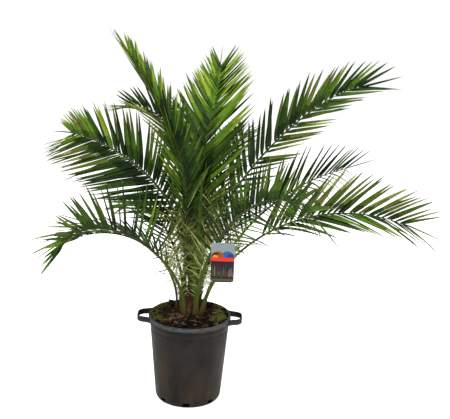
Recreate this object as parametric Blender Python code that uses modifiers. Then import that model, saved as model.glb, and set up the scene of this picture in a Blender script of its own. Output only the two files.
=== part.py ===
"""A young Canary Island date palm in a nursery pot with two handles.

Metres, +Z up.  The origin is the middle of the pot's flat underside.  Each frond is a stalk
and two thin V-folded blades, which hold the outline that its leaflets fill.
"""
import math
from typing import NamedTuple

import bmesh
import bpy
import numpy as np
from mathutils import Matrix, Vector

NAME = "date_palm"
GAP = 0.0003  # between pieces that touch
MERGE = 0.00005
SHARP = 35.0  # degrees, above which an edge stays sharp

# Pot
POT_HEIGHT = 0.325
RIM_RADIUS = 0.1540
RIM_DEPTH = 0.0160
COLLAR_RADIUS = 0.1500
COLLAR_DEPTH = 0.034
WALL_TOP_RADIUS = 0.1475
WALL_FOOT_RADIUS = 0.1245
FOOT_RADIUS = 0.1150
FOOT_ROUND = 0.0200
LIP_ROUND = 0.0030
LIP_STEPS = 3
COLLAR_SLOPE = 0.0006
COLLAR_STEP = 0.0015
FOOT_STEPS = 4
WALL = 0.0028
FLOOR = 0.0040
POT_STEPS = 40
NOTCHES = 8
NOTCH_WIDTH = 0.025
NOTCH_DEPTH = 0.030
NOTCH_INSET = 0.006  # of the cutter's middle, behind the wall's foot
NOTCH_BOTTOM = 0.0050
NOTCH_TOP = 0.0200

# Handles: an upright strap bent to a D on each side of the pot
STRAP_THICK = 0.0036
STRAP_TALL = 0.0220
STRAP_TOP = POT_HEIGHT - 0.0008
HANDLE_REACH = 0.0420  # past the rim
HANDLE_HALF = 0.0560  # of its width at its roots
HANDLE_CORNER = 0.0320
HANDLE_NARROWING = 0.0120  # on each side, from its roots to its end
CORNER_STEPS = 5

# Potting soil
SOIL_EDGE = POT_HEIGHT - 0.0070
SOIL_TOP = POT_HEIGHT + 0.0105
SEAT_RADIUS = 0.0640  # the level middle of the mound
MOUND = ((0.098, 0.0020), (0.121, 0.0075))  # radius, and how far below the top
BANK_RADIUS = 0.134
BANK_RISE = 0.0055  # above the soil's edge

# Stem
STEM_FOOT = 0.0330
STEM_BULGE = 0.0345
STEM_TOP_RADIUS = 0.0335
STEM_TOP = 0.4080
STEM_STEPS = 20
SHOULDER = 0.08  # heights on the stem, as shares of it
BELLY = 0.45
ANKLE = 0.12
CROWN_RADIUS = STEM_TOP_RADIUS * 0.88
FLARE = 0.0005

# Spear: the closed newest leaf
SPEAR_FOOT = (0.010, -0.014, STEM_TOP + GAP * 4)
SPEAR_TIP = (0.032, -0.034, 0.870)
SPEAR_RADIUS = 0.0100
SPEAR_POINTS = 6
SPEAR_TAPER = 0.75  # of the radius is gone at the tip
SPEAR_MARKS = 40  # the points by which its neighbours keep clear of it

# Hang tag
TAG_CENTRE = (0.1158, -0.1750, 0.5845)
TAG_WIDTH = 0.0810
TAG_TALL = 0.1420
TAG_CORNER = 0.0080
TAG_CORNER_STEPS = 3
TAG_MARKS = (6, 9)  # across and up, by which its neighbours keep clear of it
TAG_THICK = 0.0012
LOOP_RADIUS = 0.0125
LOOP_WIRE = 0.0012
LOOP_STEPS = 20
WIRE_STEPS = 6
LOOP_FRACTION = 0.370  # along the frond that the tag hangs from
TAGGED = "06"

# Fronds
PATH_POINTS = 65
STALK_POINTS = 9
LEAF_START = 0.30  # the bare share of a frond's length
BEND = 0.62  # where a blade is parted
BEND_GAP = 0.0012  # half of the gap there
STATIONS = 8
SUB_STATIONS = 4
ACROSS = 16
INNER_STALK = 0.00624
OUTER_STALK = 0.0080
STALK_TIP = 0.0022
STALK_TAPER = 0.8  # power by which the stalk thins
ROLL_RATE = 1.6  # the blade has rolled in fully at 1 / ROLL_RATE of its length
SHORTEST = 0.78  # leaflets at both ends of the blade, as a share of the longest
LONGEST_EARLY = 0.8  # below 1, the longest leaflets sit before the blade's middle
BLADE_THICK = 0.0060
EDGE_THICK = 0.0030
TIP_LEAF = 0.80  # the end leaflet, as a share of the longest
TIP_WIDTH = 0.0060
RIB_STRIP = 0.0110  # half of the blade that is kept at its narrowest
RIB_CLEAR = 0.0270  # blades stay this far from another frond's rib
BLADE_CLEAR = 0.0170  # and this far from another frond's blade
RIB_MARKS = 56  # the points by which other blades keep clear of a rib
STATION_CLEAR = 0.01  # least share of the rib between a blade's end and its next station
NEARBY = 0.35  # nothing further than this from a leaflet's middle can touch it
OUTER_ROOT = SOIL_TOP + GAP
INNER_ROOT = STEM_TOP + GAP


class Frond(NamedTuple):
    """A frond's arch is a cubic curve in an upright plane through the pot's axis.

    azimuth and sweep (degrees) turn the plane, from root to tip; reach and height (metres)
    place the end of the rib; rise_angle and rise shape its start, tip_angle and lead its end.
    seat_angle and seat_radius place its root on the stem.  roll (degrees) turns the blade
    about the rib.  leaflet (metres) is the longest leaflet; base_spread and tip_spread
    (degrees) are the leaflets' angles to the rib, and fold is the blade's V.
    """
    name: str
    azimuth: float
    sweep: float
    reach: float
    height: float
    rise_angle: float
    rise: float
    tip_angle: float
    lead: float
    root: float
    seat_angle: float
    seat_radius: float
    roll: float
    leaflet: float
    base_spread: float
    tip_spread: float
    fold: float


IN, OUT = INNER_ROOT, OUTER_ROOT
# name, azimuth, sweep, reach, height, rise (angle, length), tip (angle, lead),
# root height, seat (angle, radius), roll, leaflet, spread (base, tip), fold.
# The fronds that stand furthest out come first, because the later ones make way for them.
FRONDS = [
    Frond("04", -22, 13, 0.752, 0.728, 74, 0.21, -22, 0.40, OUT, -22, 0.045, 50, 0.200, 46, 32, 20),
    Frond("08", 222, 20, 0.715, 0.757, 92, 0.19, -10, 0.36, OUT, 243, 0.047, 50, 0.215, 74, 8, 42),
    Frond("03", 4, -6, 0.574, 1.190, 90, 0.34, 12, 0.18, IN, 4, 0.030, 52, 0.170, 60, 20, 8),
    Frond("07", 162, -12, 0.560, 0.948, 98, 0.44, -6, 0.17, IN, 179, 0.030, -52, 0.215, 72, 18, -10),
    Frond("01", 154, -14, 0.335, 1.255, 89, 0.40, 38, 0.36, IN, 137, 0.030, 10, 0.190, 40, 15, 18),
    Frond("02", 70, 10, 0.452, 1.216, 82, 0.60, 32, 0.43, IN, 76, 0.008, -4, 0.205, 52, 29, 8),
    Frond("05", 16, 8, 0.640, 0.850, 71, 0.30, 5, 0.30, OUT, 16, 0.045, 44, 0.205, 55, 18, 28),
    Frond("06", -60, 0, 0.700, 0.875, 84, 0.30, -22, 0.24, OUT, -60, 0.045, -72, 0.190, 62, 34, 10),
    Frond("09", 168, -16, 0.270, 1.080, 88, 0.30, -6, 0.28, IN, 228, 0.030, -50, 0.172, 48, 22, 20),
    Frond("13", 54, -4, 0.600, 0.660, 76, 0.24, -24, 0.26, OUT, 54, 0.045, 10, 0.185, 54, 26, 24),
    Frond("12", 118, 4, 0.580, 0.610, 78, 0.22, -26, 0.26, OUT, 119, 0.0468, -14, 0.185, 54, 26, 24),
    Frond("15", 88, -4, 0.640, 0.570, 74, 0.22, -30, 0.28, OUT, 88, 0.045, -6, 0.180, 54, 26, 24),
    Frond("11", 96, 0, 0.600, 0.950, 79, 0.34, -6, 0.28, IN, 95, 0.030, -8, 0.190, 56, 28, 24),
    Frond("10", 66, 2, 0.500, 0.950, 84, 0.30, 12, 0.24, IN, 53, 0.030, 12, 0.180, 55, 26, 22),
    Frond("14", 178, 0, 0.420, 0.600, 86, 0.21, -24, 0.20, OUT, 178, 0.050, 10, 0.140, 52, 24, 28),
]


# ---------------------------------------------------------------- scene and materials

def clear_scene():
    for thing in list(bpy.data.objects):
        bpy.data.objects.remove(thing, do_unlink=True)


def new_collection(name):
    collection = bpy.data.collections.new(name)
    bpy.context.scene.collection.children.link(collection)
    return collection


def material(name, colour, roughness):
    made = bpy.data.materials.new(name)
    made.use_nodes = True
    shader = made.node_tree.nodes["Principled BSDF"]
    shader.inputs["Base Color"].default_value = (*colour, 1.0)
    shader.inputs["Roughness"].default_value = roughness
    shader.inputs["Metallic"].default_value = 0.0
    return made


def add_object(name, data, finish, collection, parent):
    thing = bpy.data.objects.new(name, data)
    data.materials.append(finish)
    collection.objects.link(thing)
    thing.parent = parent
    return thing


def mesh_from(name, verts, faces):
    mesh = bpy.data.meshes.new(name)
    mesh.from_pydata([tuple(v) for v in verts], [], faces)
    mesh.update()
    return mesh


def smooth(mesh):
    mesh.shade_smooth()
    mesh.set_sharp_from_angle(angle=math.radians(SHARP))


def turned(name, profile, steps, finish, collection, parent):
    """A closed profile of (radius, height), outer side downwards, turned about Z."""
    mesh = bpy.data.meshes.new(name)
    count = len(profile)
    edges = [(i, (i + 1) % count) for i in range(count)]
    mesh.from_pydata([(r, 0.0, z) for r, z in profile], edges, [])
    thing = add_object(name, mesh, finish, collection, parent)
    screw = thing.modifiers.new("turn", "SCREW")
    screw.axis = "Z"
    screw.steps = steps
    screw.render_steps = steps
    screw.use_merge_vertices = True
    screw.merge_threshold = MERGE
    screw.use_smooth_shade = True
    return thing


# ---------------------------------------------------------------- pot, handles and soil

def arc(centre, radius, start, end, count):
    """Points on an arc in the plane, from start to end (degrees)."""
    angles = [math.radians(start + (end - start) * i / count) for i in range(count + 1)]
    return [(centre[0] + radius * math.cos(a), centre[1] + radius * math.sin(a)) for a in angles]


def inner_radius(z):
    """The pot's inner wall, at a height."""
    top = POT_HEIGHT - COLLAR_DEPTH
    share = min(max((z - FOOT_ROUND) / (top - FOOT_ROUND), 0.0), 1.0)
    return WALL_FOOT_RADIUS + (WALL_TOP_RADIUS - WALL_FOOT_RADIUS) * share - WALL


def pot_profile():
    collar_foot = POT_HEIGHT - COLLAR_DEPTH
    outer = arc((RIM_RADIUS - LIP_ROUND, POT_HEIGHT - LIP_ROUND), LIP_ROUND, 90, 0, LIP_STEPS)
    outer += [
        (RIM_RADIUS, POT_HEIGHT - RIM_DEPTH),
        (COLLAR_RADIUS, POT_HEIGHT - RIM_DEPTH),
        (COLLAR_RADIUS - COLLAR_SLOPE, collar_foot + COLLAR_STEP),
        (WALL_TOP_RADIUS, collar_foot),
        (WALL_FOOT_RADIUS, FOOT_ROUND),
    ]
    for i in range(1, FOOT_STEPS + 1):
        turn = math.radians(90.0 * i / FOOT_STEPS)
        across = (WALL_FOOT_RADIUS - FOOT_RADIUS) * (1.0 - math.cos(turn))
        outer.append((WALL_FOOT_RADIUS - across, FOOT_ROUND * (1.0 - math.sin(turn))))
    inside = [
        (0.0, 0.0),
        (0.0, FLOOR),
        (FOOT_RADIUS - WALL, FLOOR),
        (inner_radius(FOOT_ROUND), FOOT_ROUND + FLOOR),
        (inner_radius(collar_foot), collar_foot),
        (inner_radius(collar_foot), POT_HEIGHT - LIP_ROUND),
    ]
    return outer + inside


def notch_cutter(collection):
    """Drain slots round the pot's lower edge, as one cutter."""
    made = bmesh.new()
    tall = NOTCH_TOP - NOTCH_BOTTOM
    for i in range(NOTCHES):
        turn = Matrix.Rotation(math.tau * i / NOTCHES, 4, "Z")
        middle = Matrix.Translation((WALL_FOOT_RADIUS - NOTCH_INSET, 0.0, NOTCH_BOTTOM + tall / 2))
        size = Matrix.Diagonal((NOTCH_DEPTH, NOTCH_WIDTH, tall, 1.0))
        bmesh.ops.create_cube(made, size=1.0, matrix=turn @ middle @ size)
    mesh = bpy.data.meshes.new("notch_cutter")
    made.to_mesh(mesh)
    made.free()
    cutter = bpy.data.objects.new("notch_cutter", mesh)
    collection.objects.link(cutter)
    cutter.hide_render = True
    cutter.display_type = "WIRE"
    return cutter


def make_pot(finish, collection, cutters, parent):
    pot = turned("pot_body", pot_profile(), POT_STEPS, finish, collection, parent)
    cut = pot.modifiers.new("drain_slots", "BOOLEAN")
    cut.operation = "DIFFERENCE"
    cut.solver = "EXACT"
    cut.object = notch_cutter(cutters)
    return pot


def handle_outline(offset):
    """One side of the strap, seen from above, from its front root to its back root."""
    reach = RIM_RADIUS + HANDLE_REACH - offset
    half = HANDLE_HALF - offset
    corner = HANDLE_CORNER - offset
    end_half = half - HANDLE_NARROWING
    root_radius = RIM_RADIUS + GAP * 2
    root_x = math.sqrt(root_radius ** 2 - half ** 2)
    front = [(root_x, -half)]
    front += arc((reach - corner, corner - end_half), corner, -90, 0, CORNER_STEPS)
    back = [(x, -y) for x, y in reversed(front)]
    return front + back


def make_handle(name, side, finish, collection, parent):
    outer = handle_outline(0.0)
    inner = handle_outline(STRAP_THICK)
    outline = outer + list(reversed(inner))
    curve = bpy.data.curves.new(name, "CURVE")
    curve.dimensions = "2D"
    curve.fill_mode = "BOTH"
    curve.extrude = STRAP_TALL / 2
    spline = curve.splines.new("POLY")
    spline.points.add(len(outline) - 1)
    for point, (x, y) in zip(spline.points, outline):
        point.co = (side * x, y, 0.0, 1.0)
    spline.use_cyclic_u = True
    handle = add_object(name, curve, finish, collection, parent)
    handle.location = (0.0, 0.0, STRAP_TOP - STRAP_TALL / 2)
    return handle


def make_soil(finish, collection, parent):
    top = POT_HEIGHT - COLLAR_DEPTH
    profile = [
        (0.0, SOIL_TOP),
        (SEAT_RADIUS, SOIL_TOP),
        *((radius, SOIL_TOP - drop) for radius, drop in MOUND),
        (BANK_RADIUS, SOIL_EDGE + BANK_RISE),
        (inner_radius(top) - GAP, SOIL_EDGE),
        (inner_radius(top) - GAP, top),
        (inner_radius(FOOT_ROUND) - GAP, FOOT_ROUND + FLOOR + GAP),
        (FOOT_RADIUS - WALL - GAP * 2, FLOOR + GAP),
        (0.0, FLOOR + GAP),
    ]
    return turned("soil", profile, POT_STEPS, finish, collection, parent)


# ---------------------------------------------------------------- stem and spear

def make_stem(finish, collection, parent):
    foot = SOIL_TOP + GAP
    tall = STEM_TOP - foot
    profile = [
        (0.0, STEM_TOP),
        (CROWN_RADIUS, STEM_TOP),
        (STEM_TOP_RADIUS, STEM_TOP - tall * SHOULDER),
        (STEM_BULGE, foot + tall * BELLY),
        (STEM_FOOT, foot + tall * ANKLE),
        (STEM_FOOT + FLARE, foot),
        (0.0, foot),
    ]
    return turned("stem", profile, STEM_STEPS, finish, collection, parent)


def tapered_limb(name, points, radii, finish, collection, parent):
    """A round limb through points, whose radius follows the list."""
    curve = bpy.data.curves.new(name, "CURVE")
    curve.dimensions = "3D"
    curve.bevel_depth = 1.0
    curve.bevel_resolution = 1
    curve.use_fill_caps = True
    spline = curve.splines.new("POLY")
    spline.points.add(len(points) - 1)
    for point, place, radius in zip(spline.points, points, radii):
        point.co = (*place, 1.0)
        point.radius = radius
    return add_object(name, curve, finish, collection, parent)


def spear_line(count):
    share = np.linspace(0.0, 1.0, count)[:, None]
    return np.array(SPEAR_FOOT) * (1.0 - share) + np.array(SPEAR_TIP) * share


def make_spear(finish, collection, parent):
    share = np.linspace(0.0, 1.0, SPEAR_POINTS)
    radii = SPEAR_RADIUS * (1.0 - share ** 3 * SPEAR_TAPER)
    return tapered_limb("spear", spear_line(SPEAR_POINTS), radii, finish, collection, parent)


# ---------------------------------------------------------------- the frond's own geometry

def even_steps(points, count):
    """The same line, with its points at equal distances."""
    run = np.concatenate([[0.0], np.cumsum(np.linalg.norm(np.diff(points, axis=0), axis=1))])
    places = np.linspace(0.0, run[-1], count)
    return np.stack([np.interp(places, run, points[:, k]) for k in range(3)], axis=1)


def rib_line(frond, count=PATH_POINTS):
    """The frond's rib from root to end, at equal steps, and its plane's azimuth at each."""
    share = np.linspace(0.0, 1.0, count)
    rise = np.radians(frond.rise_angle)
    dip = np.radians(frond.tip_angle)
    start = np.array([0.0, frond.root])
    end = np.array([frond.reach, frond.height])
    first = start + frond.rise * np.array([np.cos(rise), np.sin(rise)])
    second = end - frond.lead * np.array([np.cos(dip), np.sin(dip)])
    t = share[:, None]
    arch = (1 - t) ** 3 * start + 3 * (1 - t) ** 2 * t * first
    arch = arch + 3 * (1 - t) * t ** 2 * second + t ** 3 * end
    azimuth = np.radians(frond.azimuth + frond.sweep * share ** 2)
    seat = np.radians(frond.seat_angle)
    shift = frond.seat_radius * np.array([np.cos(seat), np.sin(seat)])
    fade = (1.0 - share)[:, None] ** 2
    flat = arch[:, :1] * np.stack([np.cos(azimuth), np.sin(azimuth)], axis=1) + fade * shift
    return even_steps(np.column_stack([flat, arch[:, 1]]), count), azimuth


def unit(rows):
    return rows / np.linalg.norm(rows, axis=1)[:, None]


def rib_frames(points, azimuth, roll):
    """Along, across and up for each point of a rib; the blade rolls in over its first part."""
    along = unit(np.gradient(points, axis=0))
    across = np.stack([-np.sin(azimuth), np.cos(azimuth), np.zeros(len(azimuth))], axis=1)
    across = unit(across - np.sum(across * along, axis=1)[:, None] * along)
    up = np.cross(along, across)
    share = np.linspace(0.0, 1.0, len(points))
    turn = (np.radians(roll) * np.clip(share * ROLL_RATE, 0.0, 1.0))[:, None]
    rolled = np.cos(turn) * across + np.sin(turn) * up
    return along, rolled, np.cos(turn) * up - np.sin(turn) * across


def at(rows, share):
    """Rows read at shares of their length."""
    places = np.asarray(share) * (len(rows) - 1)
    index = np.arange(len(rows))
    return np.stack([np.interp(places, index, rows[:, k]) for k in range(rows.shape[1])], axis=1)


def stalk_radius(frond, share):
    base = INNER_STALK if frond.root == INNER_ROOT else OUTER_STALK
    return base * (1.0 - np.asarray(share)) ** STALK_TAPER + STALK_TIP


class Blade:
    """A frond's rulings: where each leaflet starts, which way it points and how long it is."""

    def __init__(self, frond):
        self.frond = frond
        self.points, azimuth = rib_line(frond)
        self.length = float(np.sum(np.linalg.norm(np.diff(self.points, axis=0), axis=1)))
        self.along, self.across, self.up = rib_frames(self.points, azimuth, frond.roll)
        self.reach = {}

    def rulings(self, shares, side):
        """Roots and full leaflet vectors at shares of the rib, on side 1 or -1."""
        frond = self.frond
        t = (np.asarray(shares) - LEAF_START) / (1.0 - LEAF_START)
        swell = np.sin(np.pi * np.clip(t, 0.0, 1.0) ** LONGEST_EARLY)
        length = frond.leaflet * (SHORTEST + (1.0 - SHORTEST) * swell)
        spread = np.radians(frond.base_spread + (frond.tip_spread - frond.base_spread) * t)
        fold = math.radians(frond.fold)
        sideways = side * math.cos(fold) * at(self.across, shares) + math.sin(fold) * at(self.up, shares)
        way = np.cos(spread)[:, None] * at(self.along, shares) + np.sin(spread)[:, None] * sideways
        return at(self.points, shares), length[:, None] * way

    def rib_points(self):
        return at(self.points, np.linspace(0.0, 1.0, RIB_MARKS))


def station_shares():
    return np.linspace(LEAF_START, 1.0, STATIONS + 1)


def fine_shares():
    return np.linspace(LEAF_START, 1.0, STATIONS * SUB_STATIONS + 1)


def clear_share(roots, ways, obstacles, clearances):
    """How much of each ruling stays clear of the obstacles, from 0 to 1."""
    steps = np.linspace(0.0, 1.0, ACROSS + 1)
    shares = np.ones(len(roots))
    for row, (root, way) in enumerate(zip(roots, ways)):
        line = root + steps[:, None] * way
        near = np.linalg.norm(obstacles - line[ACROSS // 2], axis=1) < NEARBY
        if not near.any():
            continue
        apart = np.linalg.norm(line[:, None] - obstacles[near][None], axis=2)
        hit = np.any(apart < clearances[near][None], axis=1)
        if hit.any():
            shares[row] = max(steps[int(np.argmax(hit))] - 1.0 / ACROSS, 0.0)
    return shares


def tag_points():
    width = np.linspace(-TAG_WIDTH / 2, TAG_WIDTH / 2, TAG_MARKS[0])
    tall = np.linspace(-TAG_TALL / 2, TAG_TALL / 2, TAG_MARKS[1])
    return np.array([np.add(TAG_CENTRE, (x, 0.0, z)) for x in width for z in tall])


def share_out(blades):
    """Gives each blade the reach that its neighbours leave it, station by station."""
    laid = [(spear_line(SPEAR_MARKS), BLADE_CLEAR + SPEAR_RADIUS), (tag_points(), BLADE_CLEAR)]
    for blade in blades:
        others = [(other.rib_points(), RIB_CLEAR) for other in blades if other is not blade]
        standing = others + laid
        obstacles = np.concatenate([rows for rows, _ in standing])
        clearances = np.concatenate([np.full(len(rows), gap) for rows, gap in standing])
        fine = fine_shares()
        for side in (1, -1):
            roots, ways = blade.rulings(fine, side)
            free = clear_share(roots, ways, obstacles, clearances)
            least = RIB_STRIP / np.linalg.norm(ways, axis=1)
            free = np.maximum(free, least)
            span = [free[max(i - SUB_STATIONS, 0):i + SUB_STATIONS + 1].min()
                    for i in range(0, len(fine), SUB_STATIONS)]
            blade.reach[side] = np.array(span)
            drawn = np.interp(fine, station_shares(), blade.reach[side])
            steps = np.linspace(0.0, 1.0, ACROSS)
            surface = [root + steps[:, None] * way * reach
                       for root, way, reach in zip(roots, ways, drawn)]
            laid.append((np.concatenate(surface), BLADE_CLEAR))


# ---------------------------------------------------------------- frond solids

def make_stalk(blade, finish, collection, parent):
    """The bare stalk: it starts where its slanting end clears what it stands on."""
    slant = math.hypot(blade.along[0][0], blade.along[0][1]) / blade.along[0][2]
    start = slant * float(stalk_radius(blade.frond, 0.0)) / blade.length
    end = LEAF_START - GAP * 2 / blade.length
    shares = np.linspace(start, end, STALK_POINTS)
    radii = stalk_radius(blade.frond, shares)
    name = "stalk_" + blade.frond.name
    return tapered_limb(name, at(blade.points, shares), radii, finish, collection, parent)


def blade_section(root, left, right, up, thick):
    """Six corners of the V: left edge, rib and right edge, above and then below."""
    edge = up * EDGE_THICK
    rib = up * thick
    return [left, root, right, right - edge, root - rib, left - edge]


def blade_mesh(blade, name, start, end, to_tip):
    """The V-folded blade between two shares of the rib, closed to a point at its tip."""
    inside = [s for s in station_shares() if start + STATION_CLEAR < s < end - STATION_CLEAR]
    shares = np.array([start, *inside, end])
    edges = {}
    for side in (1, -1):
        roots, ways = blade.rulings(shares, side)
        reach = np.interp(shares, station_shares(), blade.reach[side])
        edges[side] = roots + ways * reach[:, None]
    ups = at(blade.up, shares)
    sections = [blade_section(root, left, right, up, BLADE_THICK)
                for root, left, right, up in zip(roots, edges[1], edges[-1], ups)]
    if to_tip:
        tip = roots[-1] + blade.along[-1] * blade.frond.leaflet * TIP_LEAF
        across = blade.across[-1] * TIP_WIDTH / 2
        sections.append(blade_section(tip, tip + across, tip - across, ups[-1], EDGE_THICK))
    verts = [corner for section in sections for corner in section]
    corners = 6
    faces = []
    for row in range(len(sections) - 1):
        low, high = row * corners, (row + 1) * corners
        for k in range(corners):
            after = (k + 1) % corners
            faces.append((low + k, low + after, high + after, high + k))
    last = (len(sections) - 1) * corners
    faces += [(5, 4, 1, 0), (4, 3, 2, 1)]
    faces += [(last, last + 1, last + 4, last + 5), (last + 1, last + 2, last + 3, last + 4)]
    mesh = mesh_from(name, verts, faces)
    made = bmesh.new()
    made.from_mesh(mesh)
    bmesh.ops.triangulate(made, faces=made.faces[:])
    bmesh.ops.recalc_face_normals(made, faces=made.faces[:])
    made.to_mesh(mesh)
    made.free()
    smooth(mesh)
    return mesh


def make_blades(blade, finish, collection, parent):
    """Two blades, which part where the frond bends over."""
    name = "blade_" + blade.frond.name
    gap = BEND_GAP / blade.length
    inner = blade_mesh(blade, name + "_inner", LEAF_START, BEND - gap, False)
    outer = blade_mesh(blade, name + "_outer", BEND + gap, 1.0, True)
    add_object(inner.name, inner, finish, collection, parent)
    add_object(outer.name, outer, finish, collection, parent)


# ---------------------------------------------------------------- tag

def make_tag(finish, collection, parent):
    """A flat card with rounded corners that faces the front."""
    half_w = TAG_WIDTH / 2 - TAG_CORNER
    half_t = TAG_TALL / 2 - TAG_CORNER
    outline = []
    for turn, (sx, sz) in enumerate(((1, 1), (-1, 1), (-1, -1), (1, -1))):
        outline += arc((sx * half_w, sz * half_t), TAG_CORNER, turn * 90, turn * 90 + 90, TAG_CORNER_STEPS)
    curve = bpy.data.curves.new("tag", "CURVE")
    curve.dimensions = "2D"
    curve.fill_mode = "BOTH"
    curve.extrude = TAG_THICK / 2
    spline = curve.splines.new("POLY")
    spline.points.add(len(outline) - 1)
    for point, (x, y) in zip(spline.points, outline):
        point.co = (x, y, 0.0, 1.0)
    spline.use_cyclic_u = True
    tag = add_object("tag", curve, finish, collection, parent)
    tag.location = TAG_CENTRE
    tag.rotation_euler = (math.radians(90.0), 0.0, 0.0)
    return tag


def make_loop(blade, finish, collection, parent):
    """The tag's loop round the stalk that it hangs from."""
    centre = Vector(at(blade.points, [LOOP_FRACTION])[0])
    along = Vector(at(blade.along, [LOOP_FRACTION])[0])
    bpy.ops.mesh.primitive_torus_add(
        major_radius=LOOP_RADIUS, minor_radius=LOOP_WIRE,
        major_segments=LOOP_STEPS, minor_segments=WIRE_STEPS)
    loop = bpy.context.object
    loop.name = "tag_loop"
    loop.data.name = "tag_loop"
    for old in list(loop.users_collection):
        old.objects.unlink(loop)
    collection.objects.link(loop)
    loop.data.materials.append(finish)
    loop.data.shade_smooth()
    loop.parent = parent
    loop.location = centre
    loop.rotation_euler = along.to_track_quat("Z", "Y").to_euler()
    return loop


# ---------------------------------------------------------------- the whole plant

def main():
    clear_scene()
    collection = new_collection(NAME)
    cutters = new_collection("cutters")
    parent = bpy.data.objects.new(NAME, None)
    collection.objects.link(parent)

    plastic = material("charcoal_plastic", (0.032, 0.030, 0.028), 0.6)
    compost = material("potting_soil", (0.035, 0.022, 0.014), 0.95)
    fibre = material("stem_fibre", (0.150, 0.080, 0.040), 0.9)
    green_stalk = material("green_stalk", (0.110, 0.170, 0.030), 0.5)
    leaf = material("leaf", (0.045, 0.110, 0.016), 0.5)
    young_leaf = material("young_leaf", (0.120, 0.240, 0.030), 0.5)
    card = material("printed_card", (0.350, 0.300, 0.280), 0.35)

    make_pot(plastic, collection, cutters, parent)
    make_handle("handle_left", -1, plastic, collection, parent)
    make_handle("handle_right", 1, plastic, collection, parent)
    make_soil(compost, collection, parent)
    make_stem(fibre, collection, parent)
    make_spear(young_leaf, collection, parent)

    blades = [Blade(frond) for frond in FRONDS]
    share_out(blades)
    for blade in blades:
        make_stalk(blade, green_stalk, collection, parent)
        make_blades(blade, leaf, collection, parent)

    make_tag(card, collection, parent)
    tagged = next(blade for blade in blades if blade.frond.name == TAGGED)
    make_loop(tagged, card, collection, parent)


main()
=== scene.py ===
"""The looks of a young Canary Island date palm in a nursery pot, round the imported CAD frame.

Metres, +Z up, the origin under the middle of the pot.  Every frond keeps the arch that its
CAD solids have, and gets a rib, spines and folded leaflets in their place.
"""

import math
from typing import NamedTuple

import bmesh
import bpy
import numpy as np
from mathutils import Matrix, Vector, noise


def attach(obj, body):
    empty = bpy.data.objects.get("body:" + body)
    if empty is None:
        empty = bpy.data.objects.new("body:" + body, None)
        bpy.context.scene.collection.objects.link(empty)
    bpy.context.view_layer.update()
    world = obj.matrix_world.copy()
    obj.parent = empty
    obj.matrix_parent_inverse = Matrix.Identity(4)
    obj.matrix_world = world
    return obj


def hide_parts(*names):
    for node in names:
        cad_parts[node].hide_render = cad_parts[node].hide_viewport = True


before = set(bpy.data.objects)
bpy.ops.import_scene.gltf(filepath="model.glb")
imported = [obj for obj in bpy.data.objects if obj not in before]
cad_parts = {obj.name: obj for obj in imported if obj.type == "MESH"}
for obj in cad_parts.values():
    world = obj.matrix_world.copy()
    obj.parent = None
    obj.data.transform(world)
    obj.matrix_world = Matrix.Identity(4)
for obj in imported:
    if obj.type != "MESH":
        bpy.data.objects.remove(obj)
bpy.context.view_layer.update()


# ------------ sizes shared with the CAD

POT_HEIGHT = 0.325
RIM_RADIUS = 0.1540
RIM_DEPTH = 0.0160
COLLAR_RADIUS = 0.1500
COLLAR_DEPTH = 0.034
WALL_TOP_RADIUS = 0.1475
WALL_FOOT_RADIUS = 0.1245
FOOT_RADIUS = 0.1150
FOOT_ROUND = 0.0200
WALL = 0.0028
NOTCHES = 8
NOTCH_WIDTH = 0.025
NOTCH_BOTTOM = 0.0050
NOTCH_TOP = 0.0200

STRAP_THICK = 0.0036
STRAP_TALL = 0.0220
STRAP_TOP = POT_HEIGHT - 0.0008
HANDLE_REACH = 0.0420
HANDLE_HALF = 0.0560
HANDLE_CORNER = 0.0320
HANDLE_NARROWING = 0.0120

SOIL_EDGE = POT_HEIGHT - 0.0070
SOIL_TOP = POT_HEIGHT + 0.0105
SOIL_RADIUS = WALL_TOP_RADIUS - WALL - 0.0003
SEAT_RADIUS = 0.0640

STEM_RADIUS = 0.0335
STEM_TOP = 0.4080
SPEAR_FOOT = (0.010, -0.014, STEM_TOP)
SPEAR_TIP = (0.032, -0.034, 0.870)
SPEAR_RADIUS = 0.0100

TAG_CENTRE = (0.1158, -0.1750, 0.5845)
TAG_WIDTH = 0.0810
TAG_TALL = 0.1420
TAG_CORNER = 0.0080
TAG_THICK = 0.0012
LOOP_FRACTION = 0.370
TAGGED = "06"

LEAF_START = 0.30
PATH_POINTS = 65
TIP_LEAF = 0.80
OUTER_ROOT = SOIL_TOP
INNER_ROOT = STEM_TOP


# ------------ sizes of the looks alone

# Pot and handles, rounder than the CAD's
POT_COLS = 144
POT_SHARP = 38.0  # edges sharper than this (degrees) stay sharp on the pot
STRAP_SHARP = 50.0
LIP = 0.0030  # the roundings at the rim's top and foot, at the collar's foot and inside
RIM_EDGE = 0.0012
COLLAR_EDGE = 0.0018
INNER_EDGE = 0.0015
BEVEL = 0.0008
GROOVES = (0.010, 0.0125)  # how far under the collar two grooves run
GROOVE_DEPTH = 0.0006
WALL_MARKS = (0.21, 0.15, 0.09, 0.03)  # heights over the rounded foot
FOOT_STEPS = 10
BASE = 0.0045  # the base's upper face, the height of the hollow under it and that one's radius
HOLLOW = 0.0020
HOLLOW_RADIUS = 0.0850
AXIS_GAP = 0.0010  # the section stops short of the axis
NOTCH_REACH = 0.030  # the slots' cutter, across the wall
NOTCH_INSET = 0.006
STRAP_EDGE = 0.0011  # the rounding of a handle's strap
STRAP_SUNK = 0.0012  # how deep a strap's end lies in the collar

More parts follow.
